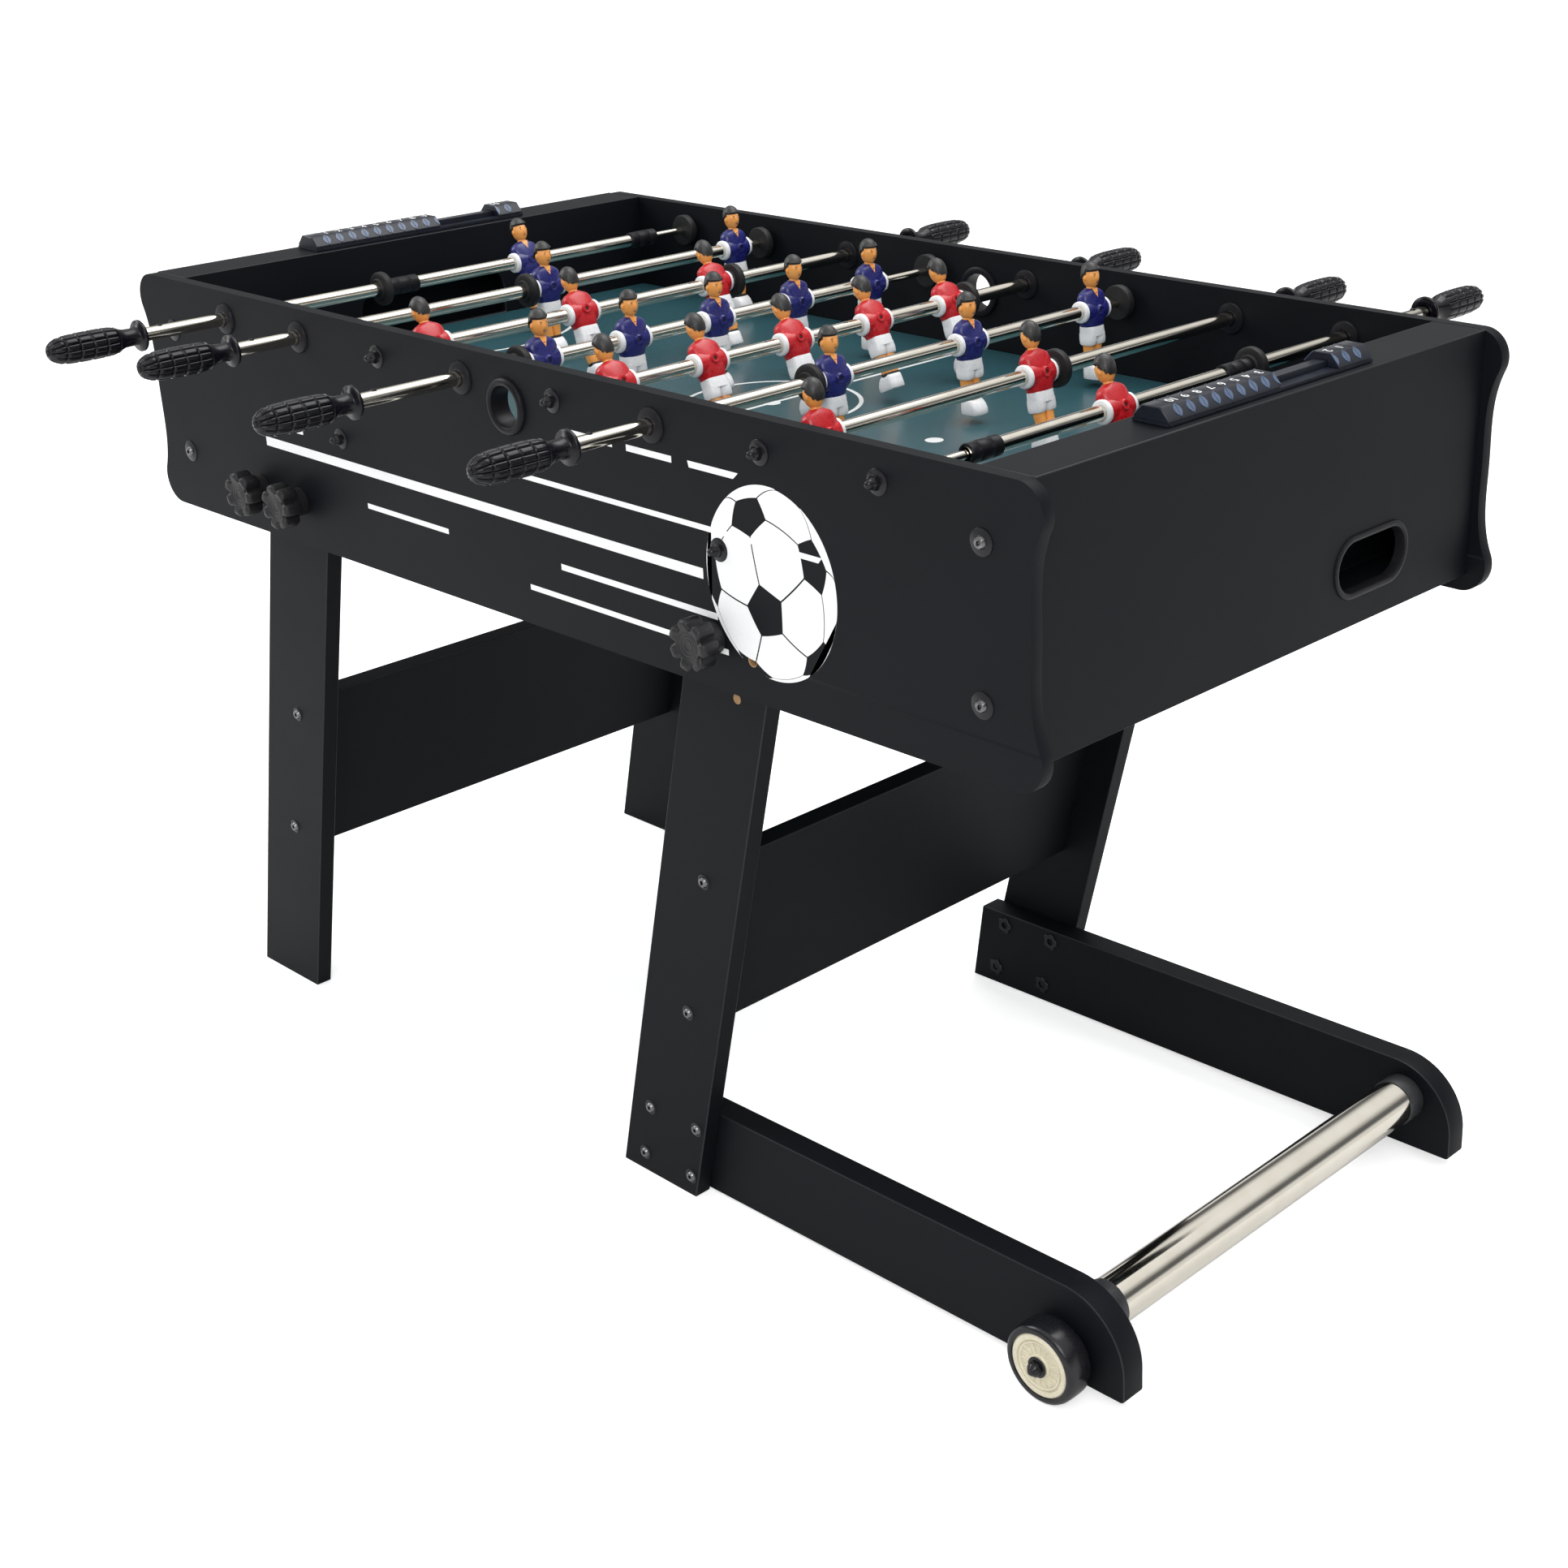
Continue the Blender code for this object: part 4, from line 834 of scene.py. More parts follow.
def foosball_man():
    work = bmesh.new()
    sleeve = lathe([(BORE, -HUB_HALF), (0.0094, -HUB_HALF), (0.0102, 0.0006 - HUB_HALF), (0.0105, -0.0152),
                    (0.0102, -0.0140), (BORE, -0.0140)], 28, ring=True)
    middle = lathe([(BORE, -0.0146), (0.0104, -0.0146), (0.0112, -0.0118), (0.0113, 0), (0.0112, 0.0118),
                    (0.0104, 0.0146), (BORE, 0.0146)], 28, ring=True)
    pressed(work, middle, SHIRT, facing((0, 1, 0), (0, 0, 0)))
    for side in (-1, 1):
        pressed(work, sleeve, WHITE, facing((0, side, 0), (0, 0, 0)))
    trunk = bmesh.new()
    chest = ((-0.0150, 0.0086, 0.0120), (-0.0100, 0.0104, 0.0128), (-0.0040, 0.0112, 0.0142),
             (0.0020, 0.0108, 0.0152), (0.0070, 0.0098, 0.0158), (0.0110, 0.0088, 0.0160),
             (0.0142, 0.0078, 0.0154), (0.0166, 0.0070, 0.0138), (0.0184, 0.0060, 0.0110),
             (0.0198, 0.0050, 0.0076), (0.0208, 0.0044, 0.0054))
    loft(trunk, [(z, 0, deep, wide, 0) for z, deep, wide in chest], SHIRT, 30, 2.8)
    pressed(work, bored(trunk), SHIRT, Matrix())
    boss = lathe([(0, 0.0002, 0), (0.0019, 0.0002), (0.0021, 0.0014), (0.0040, 0.0016), (0.0047, 0.0008),
                  (0.0052, -0.004), (0, -0.004)], 20)
    for way in (1, -1):
        pressed(work, boss, SHIRT, facing((way, 0, 0), (way * 0.0113, 0, 0.0010)))
        # Painted shade: a thin disc in the black hair finish lies in the boss's shallow dimple, for the dark
        # of the screw hole.
        hole = lathe([(0, 0.0), (0.0017, 0.0), (0.0018, -0.001), (0, -0.001)], 12)
        pressed(work, hole, HAIR, facing((way, 0, 0), (way * 0.0118, 0, 0.0010)))
    loft(work, [(0.0190, 0.0002, 0.0044, 0.0046, 0), (0.0270, 0.0006, 0.0042, 0.0042, 0)], SKIN, 14, 2.0)
    collar = [(0.0128, 0.0001), (0.0150, 0.0010), (0.0175, 0.0024), (0.0200, 0.0036), (0.0210, 0.0038)]
    left, right = [], []
    for z, wide in collar:
        depth = 0.0083 - (z - 0.0128) * 0.46
        left.append(work.verts.new((depth + 0.0004, -wide, z)))
        right.append(work.verts.new((depth + 0.0004, wide, z)))
    for i in range(len(collar) - 1):
        work.faces.new((left[i], right[i], right[i + 1], left[i + 1])).material_index = SKIN
    oval(work, (0.0004, 0, 0.0313), (0.0084, 0.0080, 0.0108), SKIN, 28, 20, face_shape)
    for side in (-1, 1):
        oval(work, (-0.0002, side * 0.0080, 0.0310), (0.0017, 0.0011, 0.0026), SKIN, 8, 6)
        oval(work, (0.0078, side * 0.0028, 0.0330), (0.0006, 0.0010, 0.0006), HAIR, 8, 6)
        oval(work, (0.0079, side * 0.0029, 0.0347), (0.0005, 0.0017, 0.0004), HAIR, 8, 6)
    oval(work, (0.0082, 0, 0.0268), (0.0004, 0.0017, 0.0004), SHIRT, 8, 6)
    oval(work, (-0.0002, 0, 0.0338), (0.0094, 0.0090, 0.0108), HAIR, 30, 22, hair_shape)
    loft(work, [(-0.0240, 0.0002, 0.0092, 0.0122, 0), (-0.0200, 0.0002, 0.0092, 0.0124, 0),
                (-0.0160, 0, 0.0090, 0.0122, 0), (-0.0136, 0, 0.0084, 0.0116, 0)], WHITE, 26, 3.0)
    for side in (-1, 1):
        loft(work, [(-0.0325, 0.0006, 0.0070, 0.0056, side * 0.0066),
                    (-0.0312, 0.0006, 0.0080, 0.0064, side * 0.0065),
                    (-0.0270, 0.0004, 0.0086, 0.0066, side * 0.0062),
                    (-0.0215, 0.0002, 0.0088, 0.0066, side * 0.0056)], WHITE, 20, 2.8)
        loft(work, [(-0.0540, 0.0006, 0.0044, 0.0043, side * 0.0045),
                    (-0.0500, 0.0002, 0.0047, 0.0045, side * 0.0046),
                    (-0.0450, -0.0004, 0.0056, 0.0050, side * 0.0051),
                    (-0.0400, -0.0002, 0.0053, 0.0049, side * 0.0053),
                    (-0.0300, 0.0004, 0.0060, 0.0054, side * 0.0060)], SKIN, 16, 2.1)
    loft(work, [(-0.0532, 0.0004, 0.0060, 0.0092, 0), (-0.0512, 0.0004, 0.0060, 0.0092, 0),
                (-0.0498, 0.0003, 0.0056, 0.0090, 0)], HAIR, 22, 3.0)
    loft(work, [(-0.0655, 0.0040, 0.0104, 0.0090, 0), (-0.0645, 0.0040, 0.0112, 0.0096, 0),
                (-0.0600, 0.0038, 0.0108, 0.0098, 0), (-0.0560, 0.0028, 0.0096, 0.0096, 0),
                (-0.0530, 0.0014, 0.0080, 0.0092, 0), (-0.0520, 0.0010, 0.0068, 0.0086, 0)], WHITE, 26, 4.0)
    return outward(work, "man")


man = foosball_man()
for index, (team, men, spacing, where, tilt) in enumerate(RODS):
    number = index + 1
    centre = rod_layout(index)[0]
    turn = Matrix.Rotation(math.radians(tilt), 4, "Y")
    if team == "red":
        turn = turn @ Matrix.Rotation(math.pi, 4, "Z")
    work = bmesh.new()
    for k in range(men):
        copy = man.copy()
        copy.transform(Matrix.Translation(centre + Vector((0, (k - (men - 1) / 2) * spacing, 0))) @ turn)
        work.from_mesh(copy)
    shirt = blue_shirt if team == "blue" else red_shirt
    crew = add_mesh(f"rod_{number}_figures", mesh_of(work, "men", 50), skin, shirt, kit_white, hair)
    attach(crew, f"rod_{number}")


# ---- Grips ---------------------------------------------------------------------------------------
# Glossy black moulded grips. A thin flange and a smooth neck lead to rings of rounded blocks,
# which close over the domed end.
grip_black = finish("glossy_grip", (0.002, 0.002, 0.004), (0.005, 0.005, 0.008), (0.18, 0.28), grain=500,
                    patch=18, bump=0.05, shine=0.3)
GRIP_LONG = 0.097
BLOCKS_ROUND = 12
BLOCKS_FROM, BLOCKS_TO = 0.0275, 0.0955
BLOCK_RINGS = 5
GROOVE = GROOVE_DEEP = 0.0017
SOCKET = 0.050
grip_line = [(0.0000, 0.0074), (0.0000, 0.0140), (0.0008, 0.0148), (0.0032, 0.0148), (0.0040, 0.0140),
             (0.0046, 0.0098), (0.0060, 0.0087), (0.0120, 0.0084), (0.0190, 0.0087), (0.0230, 0.0100),
             (0.0270, 0.0122), (0.0330, 0.0132), (0.0420, 0.0137), (0.0560, 0.0138), (0.0680, 0.0136),
             (0.0780, 0.0131), (0.0860, 0.0118), (0.0910, 0.0098), (0.0945, 0.0070), (0.0962, 0.0040),
             (0.0970, 0.0012)]


def grip_mesh():
    """The grip along +Z, its blocks raised between grooves."""
    stations = [grip_line[0]]
    for (z0, r0), (z1, r1) in zip(grip_line, grip_line[1:]):
        steps = max(1, int(round(math.hypot(z1 - z0, r1 - r0) / 0.0009)))
        if z1 < BLOCKS_FROM:
            steps = 1
        stations += [(z0 + (z1 - z0) * k / steps, r0 + (r1 - r0) * k / steps) for k in range(1, steps + 1)]
    count = BLOCKS_ROUND * 8
    pitch = (BLOCKS_TO - BLOCKS_FROM) / BLOCK_RINGS
    work = bmesh.new()
    rings = []
    for z, radius in stations:
        loop = []
        for i in range(count):
            a = 2 * math.pi * i / count
            lift = 1.0
            if z > BLOCKS_FROM:
                turn = 2 * math.pi / BLOCKS_ROUND
                off = abs((a / turn + 0.5) % 1 - 0.5) * turn * radius
                along = abs(((z - BLOCKS_FROM) / pitch + 0.5) % 1 - 0.5) * pitch
                for gap in (off, along):
                    rise = min(max((gap - 0.0003) / GROOVE, 0.0), 1.0)
                    lift = min(lift, math.sqrt(max(0.0, 1 - (1 - rise) ** 2)))
            depth = min(GROOVE_DEEP, radius * 0.4)
            r = radius - depth * (1 - lift)
            loop.append(work.verts.new((r * math.cos(a), r * math.sin(a), z)))
        rings.append(loop)
    deep = [work.verts.new((v.co.x, v.co.y, SOCKET)) for v in rings[0]]
    skin_over(work, [deep] + rings, caps=False)
    tip, floor = work.verts.new((0, 0, GRIP_LONG)), work.verts.new((0, 0, SOCKET))
    for i in range(count):
        work.faces.new((rings[-1][i - 1], rings[-1][i], tip))
        work.faces.new((deep[i], deep[i - 1], floor))
    return outward(work, "grip", 50)


grip = grip_mesh()
for index in range(8):
    number = index + 1
    centre, near, far, stop, stroke, grip_at = rod_layout(index)
    mesh = grip.copy()
    mesh.transform(facing((0, near, 0), centre + Vector((0, near * grip_at, 0))))
    handle = add_mesh(f"handle_{number}_grip", mesh, grip_black)
    attach(handle, f"rod_{number}", f"handle_{number}")


# ---- Bumpers and guide rods -----------------------------------------------------------------------
# Moulded rubber bumpers slide on the tubes and soften the stop at each panel. At the far panel a
# thin steel rod guides the tube; a disc and an acorn nut clamp it there.
rubber = finish("black_rubber", (0.008, 0.008, 0.009), (0.018, 0.018, 0.019), (0.45, 0.60), grain=1200,
                patch=30, bump=0.12, shine=0.25)
BUMPER_T = 0.012
disc_edge = [(0.0068, 0.0060), (0.0098, 0.0060), (0.0106, 0.0052), (0.0110, 0.0040), (0.0150, 0.0040),
             (0.0164, 0.0034), (0.0170, 0.0020)]
buffer_edge = [(0.0042, -0.0002), (0.0112, -0.0002), (0.0114, -0.0040), (0.0128, -0.0046), (0.0160, -0.0050),
               (0.0169, -0.0060), (0.0170, -0.0124), (0.0162, -0.0136), (0.0110, -0.0142), (0.0042, -0.0142)]
for index in range(8):
    number = index + 1
    centre, near, far, stop, stroke, grip_at = rod_layout(index)
    middle = centre + Vector((0, near * (stop + GAP + BUMPER_T / 2), 0))
    turned(f"bumper_{number}_ring", disc_edge + [(r, -z) for r, z in reversed(disc_edge)],
           middle, (0, near, 0), rubber, f"rod_{number}_slide_ring", f"bumper_{number}", 40,
           ring=True)
    inner = INNER_Y + far + stroke + 0.030
    wall = Vector((centre.x, middle_y - near * INNER_Y, ROD_Z))
    turned(f"guide_rod_{number}_steel",
           [(0, PANEL_T + 0.0010), (0.0040, PANEL_T + 0.0010), (0.0040, 0.0006 - inner), (0.0034, -inner),
            (0, -inner)],
           wall, (0, -near, 0), chrome, "cabinet", f"guide_rod_{number}", 28)
    turned(f"wall_bumper_{number}", buffer_edge, wall, (0, -near, 0), rubber, "cabinet", None, 40,
           ring=True)
ends = [(Vector((rod_x[i], middle_y - near * HALF_WIDTH, ROD_Z)), (0, -near, 0))
        for i in range(8) for near in (rod_layout(i)[1],)]
set_out("guide_rod_nuts", acorn, ends, black_steel, "cabinet", 1.05)


# ---- Leg hardware ----------------------------------------------------------------------------------
# Button-head bolts hold the stretchers and the base rails to the legs, with T-nuts on the rails'
# inner faces. Unused holes show the raw fibreboard.
raw_board = finish("raw_fibreboard", (0.30, 0.17, 0.075), (0.44, 0.27, 0.13), (0.70, 0.85), grain=1800,
                   patch=60, bump=0.3)
LEG_FACE = 0.278
SPARE_HOLE = (0.242, 0.536)
WHEELED_BOLTS = ((0.1847, 0.3473), (0.1516, 0.2032), (0.0866, 0.0765), (0.1524, 0.0783), (0.0736, 0.0207),
                 (0.1405, 0.0219))
PLAIN_BOLTS = ((-0.4612, 0.3392), (-0.4976, 0.1975))
for label, body, bolts in (("wheeled_legs", "wheeled_frame", WHEELED_BOLTS),
                           ("plain_legs", "plain_legs", PLAIN_BOLTS)):
    spots = [(Vector((middle_x + x, middle_y + side * LEG_FACE, z)), (0, side, 0))
             for side in (-1, 1) for x, z in bolts]
    set_out(label + "_bolts", button_head, spots, steel, body)
    set_out(label + "_washers", washer, spots, black_steel, body, 0.68)


def tee_nut():
    """A five-lobed plate nut with its barrel's bore, as rings (radius, height, depth of the lobes)."""
    work = bmesh.new()
    loops = []
    for radius, z, lobe in ((0.0088, 0.0, 0.0010), (0.0088, 0.0010, 0.0010), (0.00845, 0.0013, 0.00096),
                            (0.0040, 0.0013, 0.0), (0.0037, -0.0010, 0.0)):
        angles = [2 * math.pi * i / 60 for i in range(60)]
        loops.append([work.verts.new(((radius + lobe * math.cos(5 * a)) * math.cos(a),
                                      (radius + lobe * math.cos(5 * a)) * math.sin(a), z)) for a in angles])
    skin_over(work, loops)
    return outward(work, "tee_nut", 35)


RAIL_INNER = 0.2347
tees = [(Vector((middle_x + x, middle_y + side * RAIL_INNER, z)), (0, -side, 0))
        for side in (-1, 1) for x, z in WHEELED_BOLTS[2:]]
set_out("rail_tee_nuts", tee_nut(), tees, black_steel, "wheeled_frame")
raw_plug = lathe([(0, 0.0002), (0.0042, 0.0002), (0.0046, 0.0001), (0.0046, -0.0006), (0, -0.0006)], 24)
raw_ends = [(Vector((middle_x + SPARE_HOLE[0], middle_y + side * LEG_FACE, SPARE_HOLE[1])), (0, side, 0))
            for side in (-1, 1)]
set_out("leg_raw_holes", raw_plug, raw_ends, raw_board, "wheeled_frame")
lining = lathe([(0.0046, half_t - 0.0002), (0.0053, half_t - 0.0001), (0.0053, 0.0001 - half_t),
                (0.0046, 0.0002 - half_t)], 24, ring=True)
linings = [(Vector((LOCK_HOLE[0], middle_y + side * (HALF_WIDTH - half_t), LOCK_HOLE[1])), (0, side, 0))
           for side in (-1, 1)]
set_out("panel_raw_holes", lining, linings, raw_board, "cabinet")


# ---- Cross tube and wheels ----------------------------------------------------------------------------
# A thick chromed tube joins the base rails, with dark collars at its ends. Two small black wheels
# with cream hubs turn on bolts outside the rails and carry the folded table.
collar_grey = finish("collar_grey", (0.018, 0.019, 0.021), (0.038, 0.039, 0.042), (0.28, 0.40), grain=700,
                     patch=20, shine=0.3)
tyre_black = finish("glossy_tyre", (0.005, 0.005, 0.007), (0.012, 0.012, 0.015), (0.16, 0.28), grain=700,
                    patch=30, shine=0.4)
hub_cream = finish("cream_hub", (0.62, 0.57, 0.42), (0.76, 0.71, 0.56), (0.34, 0.48), grain=700, patch=60,
                   bump=0.06)
TUBE_HALF = 0.2344
CROSS_X, CROSS_Z = 0.599, 0.064
WHEEL_X, WHEEL_R, WHEEL_HALF = 0.588, 0.037, 0.014
SPACER_T = 0.005
cross_centre = (middle_x + CROSS_X, middle_y, CROSS_Z)
turned("base_cross_tube_steel", [(0.0205, -TUBE_HALF), (0.0220, -TUBE_HALF), (0.0220, TUBE_HALF),
                                 (0.0205, TUBE_HALF)],
       cross_centre, (0, 1, 0), chrome, "wheeled_frame", "base_cross_tube", 72, ring=True)
HUB_RIBS = 16
hub_outer = [(0.0044, 0.0136), (0.0098, 0.0136), (0.0104, 0.0128), (0.0108, 0.0112), (0.0180, 0.0108),
             (0.0200, 0.0110), (0.0205, 0.0124), (0.0222, 0.0128), (0.0228, 0.0112), (0.0234, 0.0112),
             (0.0240, 0.0130), (0.0282, 0.0132), (0.0294, 0.0122)]
hub_inner = [(0.0294, -0.0122), (0.0282, -0.0132), (0.0240, -0.0130), (0.0200, -0.0110), (0.0108, -0.0112),
             (0.0098, -0.0136), (0.0044, -0.0136)]
tyre_edge = [(0.0292, 0.0122), (0.0300, 0.0136), (0.0318, 0.0139), (0.0340, 0.0134), (0.0358, 0.0116),
             (0.0367, 0.0090), (0.0370, 0.0050)]
for side, label in ((-1, "front"), (1, "rear")):
    turned(f"cross_tube_collar_{label}",
           [(0.0219, TUBE_HALF - 0.020), (0.0228, TUBE_HALF - 0.0196), (0.0232, TUBE_HALF - 0.018),
            (0.0232, TUBE_HALF - 0.0010), (0.0228, TUBE_HALF), (0.0219, TUBE_HALF)],
           cross_centre, (0, side, 0), collar_grey, "wheeled_frame", None, 64, ring=True)
    outside = Vector((middle_x + WHEEL_X, middle_y + side * RAIL_OUTER, WHEEL_R))
    hub = outside + Vector((0, side * (SPACER_T + WHEEL_HALF), 0))
    turned(f"wheel_{label}_tyre", tyre_edge + [(r, -z) for r, z in reversed(tyre_edge)],
           hub, (0, side, 0), tyre_black, f"wheel_{label}", f"wheel_{label}", 96, ring=True)
    work = bmesh.new()
    work.from_mesh(lathe(hub_outer + hub_inner, 96, ring=True))
    for k in range(HUB_RIBS):
        a = 2 * math.pi * k / HUB_RIBS
        rib = bmesh.ops.create_cube(work, size=1.0)["verts"]
        bmesh.ops.scale(work, verts=rib, vec=(0.0090, 0.0012, 0.0022))
        bmesh.ops.translate(work, verts=rib, vec=(0.0152, 0, 0.0112))
        bmesh.ops.rotate(work, verts=rib, cent=(0, 0, 0), matrix=Matrix.Rotation(a, 3, "Z"))
    disc = mesh_of(work, "disc", 35)
    disc.transform(facing((0, side, 0), hub))
    attach(add_mesh(f"wheel_{label}_hub", disc, hub_cream), f"wheel_{label}")
    turned(f"wheel_{label}_axle",
           [(0, -0.0010), (0.0090, -0.0010), (0.0090, 0.0044), (0.0040, 0.0046), (0.0040, 0.0336),
            (0.0092, 0.0336), (0.0095, 0.0340), (0.0095, 0.0345), (0.0090, 0.0348), (0.0070, 0.0350, 6),
            (0.0072, 0.0358, 6), (0.0072, 0.0382, 6), (0.0062, 0.0396), (0.0048, 0.0412), (0.0028, 0.0432),
            (0, 0.0436)],
           outside, (0, side, 0), black_steel, "wheeled_frame", None, 36)


# ---- Locking knobs ------------------------------------------------------------------------------------
# Matte black moulded knobs with seven finger lobes, scooped hollows between them and rings
# round a dished middle. Their studs clamp the leg frames to the box.
knob_black = finish("matt_knob", (0.008, 0.008, 0.009), (0.017, 0.017, 0.019), (0.36, 0.48), grain=1300,
                    patch=40, bump=0.12, shine=0.35)
LOBES = 7
KNOB_Z = 0.602
SEAT = 0.0002


def knob_mesh():
    """The knob along +Z, as rings (height, radius, depth of the hollows, scoop of their lip)."""
    count = LOBES * 18
    layers = [(0.0, 0.0138, 0.0, 0.0), (0.0110, 0.0140, 0.0, 0.0), (0.0116, 0.0150, 0.0, 0.0),
              (0.0120, 0.0190, 0.5, 0.0), (0.0128, 0.0212, 0.9, 0.0), (0.0146, 0.0224, 1.0, 0.0),
              (0.0262, 0.0225, 1.0, 0.0), (0.0286, 0.0221, 1.0, 0.0006), (0.0302, 0.0208, 1.0, 0.0014),
              (0.0308, 0.0190, 0.9, 0.0020), (0.0307, 0.0168, 0.5, 0.0022), (0.0299, 0.0150, 0.1, 0.0010),
              (0.0291, 0.0136, 0.0, 0.0), (0.0286, 0.0118, 0.0, 0.0), (0.0289, 0.0112, 0.0, 0.0),
              (0.0284, 0.0104, 0.0, 0.0), (0.0282, 0.0088, 0.0, 0.0), (0.0285, 0.0083, 0.0, 0.0),
              (0.0280, 0.0075, 0.0, 0.0), (0.0278, 0.0055, 0.0, 0.0), (0.0281, 0.0050, 0.0, 0.0),
              (0.0277, 0.0043, 0.0, 0.0), (0.0276, 0.0015, 0.0, 0.0)]
    work = bmesh.new()
    rings = []
    for z, radius, lobed, scoop in layers:
        loop = []
        for i in range(count):
            a = 2 * math.pi * i / count
            notch = (0.5 - 0.5 * math.cos(LOBES * a)) ** 3.2
            r = radius - 0.0060 * lobed * notch
            loop.append(work.verts.new((r * math.cos(a), r * math.sin(a), z - scoop * notch * 1.6)))
        rings.append(loop)
    skin_over(work, rings)
    return outward(work, "knob", 40)


knob = knob_mesh()
for label, x in (("wheeled_legs", 0.2526), ("plain_legs", -0.4160), ("plain_legs_lock", -0.3500)):
    for side, end in ((-1, "front"), (1, "rear")):
        mesh = knob.copy()
        mesh.transform(facing((0, side, 0), (middle_x + x, middle_y + side * (HALF_WIDTH + SEAT), KNOB_Z)))
        name = f"knob_{label}_{end}"
        attach(add_mesh(name + "_grip", mesh, knob_black), name, name)


# ---- Scorers --------------------------------------------------------------------------------------------
# Counting beads on a rail along the top of each end box. Every bead has a flat top with a white
# numeral and sloping cheeks, and blue-grey leaf-shaped insets bridge the seams between the beads.
bead_plastic = finish("bead_plastic", (0.006, 0.008, 0.014), (0.013, 0.016, 0.026), (0.28, 0.40),
                      grain=900, patch=30, bump=0.06, shine=0.3)
leaf_blue = finish("leaf_inset", (0.055, 0.085, 0.150), (0.090, 0.130, 0.210), (0.30, 0.42), grain=700,
                   patch=60)
BEAD = 0.0158
TRAVEL = 0.079
SCORER_X, SCORER_END = 0.561, 0.0165
SCORER_LOW, SCORER_TOP = 0.0030, 0.0140
CHEEK_OUT, CHEEK_IN = 0.0170, 0.0090
track = 10 * BEAD + TRAVEL
board_top = PANEL_HIGH + GAP


def bead_block(work, start, end, seams=0.0005, slot=True):
    """A length of the sloping bead section with its ends eased, slotted to ride on the rail's core."""
    foot = SCORER_LOW + 0.0003
    cheek = [(CHEEK_OUT, foot), (CHEEK_OUT, SCORER_LOW + 0.0020), (CHEEK_IN + 0.0006, SCORER_TOP - 0.0006),
             (CHEEK_IN - 0.0006, SCORER_TOP)]
    shape = cheek + [(-x, z) for x, z in reversed(cheek)]
    if slot:
        shape += [(-0.0066, foot), (-0.0066, 0.0084), (0.0066, 0.0084), (0.0066, foot)]
    start, end = start + 0.0001, end - 0.0001
    loops = []
    for y, ease in ((start, seams), (start + seams, 0.0), (end - seams, 0.0), (end, seams)):
        loops.append([work.verts.new((x - math.copysign(ease, x), y, z - ease * (z > SCORER_TOP - 0.004)))
                      for x, z in shape])
    skin_over(work, loops)


def half_leaf(work, y, cheek, way):
    """Half of a pointed inset, lying up one cheek beside the face of a bead."""
    slope = Vector((CHEEK_IN - CHEEK_OUT, 0, SCORER_TOP - SCORER_LOW - 0.0026)).normalized()
    out = Vector((slope.z, 0, -slope.x))
    base = Vector((CHEEK_OUT, 0, SCORER_LOW + 0.0020))
    long, wide = 0.0118, 0.0040
    rim = [(0.0006 + long * k / 10, 0.0003) for k in range(11)]
    rim += [(0.0006 + long * (1 - k / 10), 0.0003 + wide * math.sin(math.pi * k / 10)) for k in range(1, 10)]
    loops = []
    for lift in (-0.0004, 0.0005):
        points = [(base + slope * u + out * lift, w) for u, w in rim]
        loops.append([work.verts.new((cheek * point.x, y + way * w, point.z)) for point, w in points])
    skin_over(work, loops)


def numeral(text, y, side):
    """A printed figure on a bead's flat top, read from the middle of the table."""
    letters = bpy.data.curves.new("numeral", "FONT")
    letters.body = text
    letters.size = 0.0118
    letters.extrude = 0.00008
    letters.resolution_u = 3
    letters.align_x = "CENTER"
    letters.align_y = "CENTER"
    mesh = curve_mesh(letters)
    turn = Matrix.Rotation(-side * math.pi / 2, 4, "Z")
    mesh.transform(Matrix.Translation((0, y, SCORER_TOP + 0.00008)) @ turn)
    return mesh


def set_down(name, work, place, material, body, node=None, angle=30):
    """A closed shape drawn about the origin, put in its place on the table."""
    mesh = outward(work, name, angle)
    mesh.transform(Matrix.Translation(place))
    attach(add_mesh(name, mesh, material), body, node)


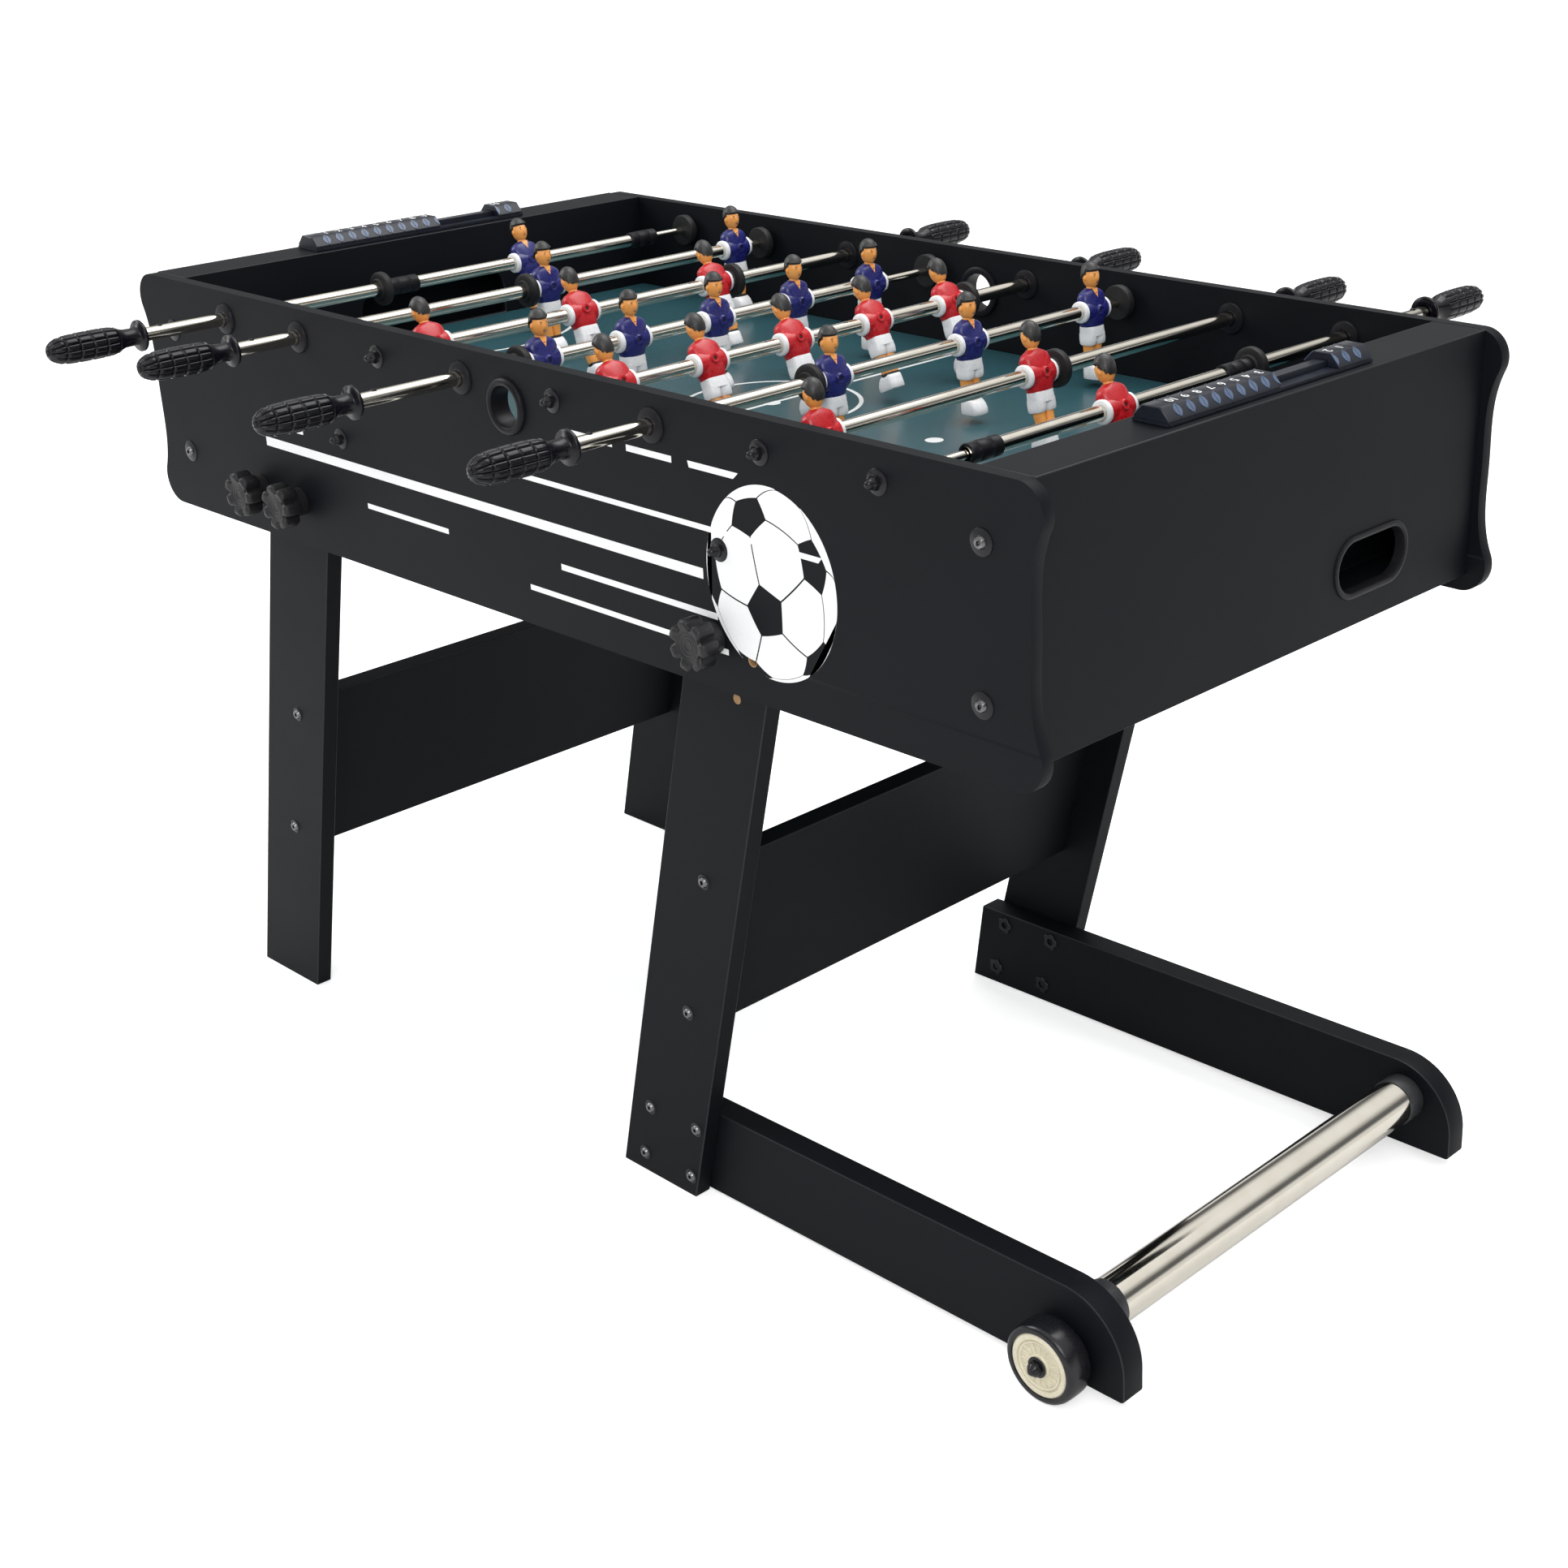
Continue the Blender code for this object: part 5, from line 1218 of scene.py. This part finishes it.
for label, side, fixed in (("plain", -1, 9), ("wheeled", 1, 8)):
    place = Vector((middle_x + side * SCORER_X, middle_y, board_top))
    rail = bmesh.new()
    half = track / 2 + SCORER_END
    for x, y, z0, z1 in ((0.018, half, 0.0, SCORER_LOW), (0.0057, track / 2, 0.0028, 0.0080)):
        cube = bmesh.ops.create_cube(rail, size=1.0)["verts"]
        bmesh.ops.scale(rail, verts=cube, vec=(2 * x, 2 * y, z1 - z0))
        bmesh.ops.translate(rail, verts=cube, vec=(0, 0, (z0 + z1) / 2))
    bmesh.ops.bevel(rail, geom=rail.edges[:], offset=0.0005, segments=2, affect="EDGES")
    set_down(f"scorer_{label}_rail", rail, place, bead_plastic, "cabinet", f"scorer_{label}")
    for group, first, count, begin, body in (("fixed", 0, fixed, -track / 2, "cabinet"),
                                             ("sliding", fixed, 10 - fixed, track / 2 - (10 - fixed) * BEAD,
                                              f"scorer_{label}_beads")):
        blocks, leaves, figures = bmesh.new(), bmesh.new(), bmesh.new()
        if group == "fixed":
            bead_block(blocks, -half, -track / 2, 0.0008, slot=False)
            bead_block(blocks, track / 2, half, 0.0008, slot=False)
            for cheek in (-1, 1):
                half_leaf(leaves, -track / 2, cheek, -1)
                half_leaf(leaves, track / 2, cheek, 1)
        for k in range(count):
            y = begin + k * BEAD
            bead_block(blocks, y, y + BEAD)
            score = first + k + 1 if side < 0 else 10 - first - k
            figures.from_mesh(numeral(str(score), y + BEAD / 2, side))
            for cheek in (-1, 1):
                half_leaf(leaves, y, cheek, 1)
                half_leaf(leaves, y + BEAD, cheek, -1)
        stood_for = f"scorer_{label}_beads" if group == "sliding" else None
        set_down(f"scorer_{label}_{group}_beads", blocks, place, bead_plastic, body, stood_for)
        set_down(f"scorer_{label}_{group}_numerals", figures, place, ink, body)
        set_down(f"scorer_{label}_{group}_leaves", leaves, place, leaf_blue, body)


# ---- Ball exits ---------------------------------------------------------------------------------------
# A moulded lip round the long hole through which the ball comes back, one in each end box.
EXIT_Y, EXIT_Z = 0.138, 0.627
EXIT_HALF, EXIT_R = 0.050, 0.023
END_FACE = 0.587
lip = [(-0.0006, 0.0002), (-0.0002, 0.0014), (0.0010, 0.0020), (0.0034, 0.0020), (0.0048, 0.0014),
       (0.0052, 0.0), (0.0052, -0.0006), (0.0008, -0.0006), (0.0006, -0.0080), (-0.0012, -0.0080)]
for label, side in (("plain", -1), ("wheeled", 1)):
    work = bmesh.new()
    loops = []
    straight = EXIT_HALF - EXIT_R
    path = ([(straight, 0, math.radians(a)) for a in range(-90, 91, 6)]
            + [(-straight, 0, math.radians(a)) for a in range(90, 271, 6)])
    for y0, z0, a in path:
        y1, z1 = side * EXIT_Y + y0, EXIT_Z + z0
        loops.append([work.verts.new((side * (END_FACE + out), y1 + (EXIT_R + grow) * math.cos(a),
                                      z1 + (EXIT_R + grow) * math.sin(a))) for grow, out in lip])
    skin_over(work, loops + loops[:1], caps=False)
    set_down(f"ball_exit_{label}_lip", work, (middle_x, middle_y, 0), nylon, "cabinet", angle=40)


low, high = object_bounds()
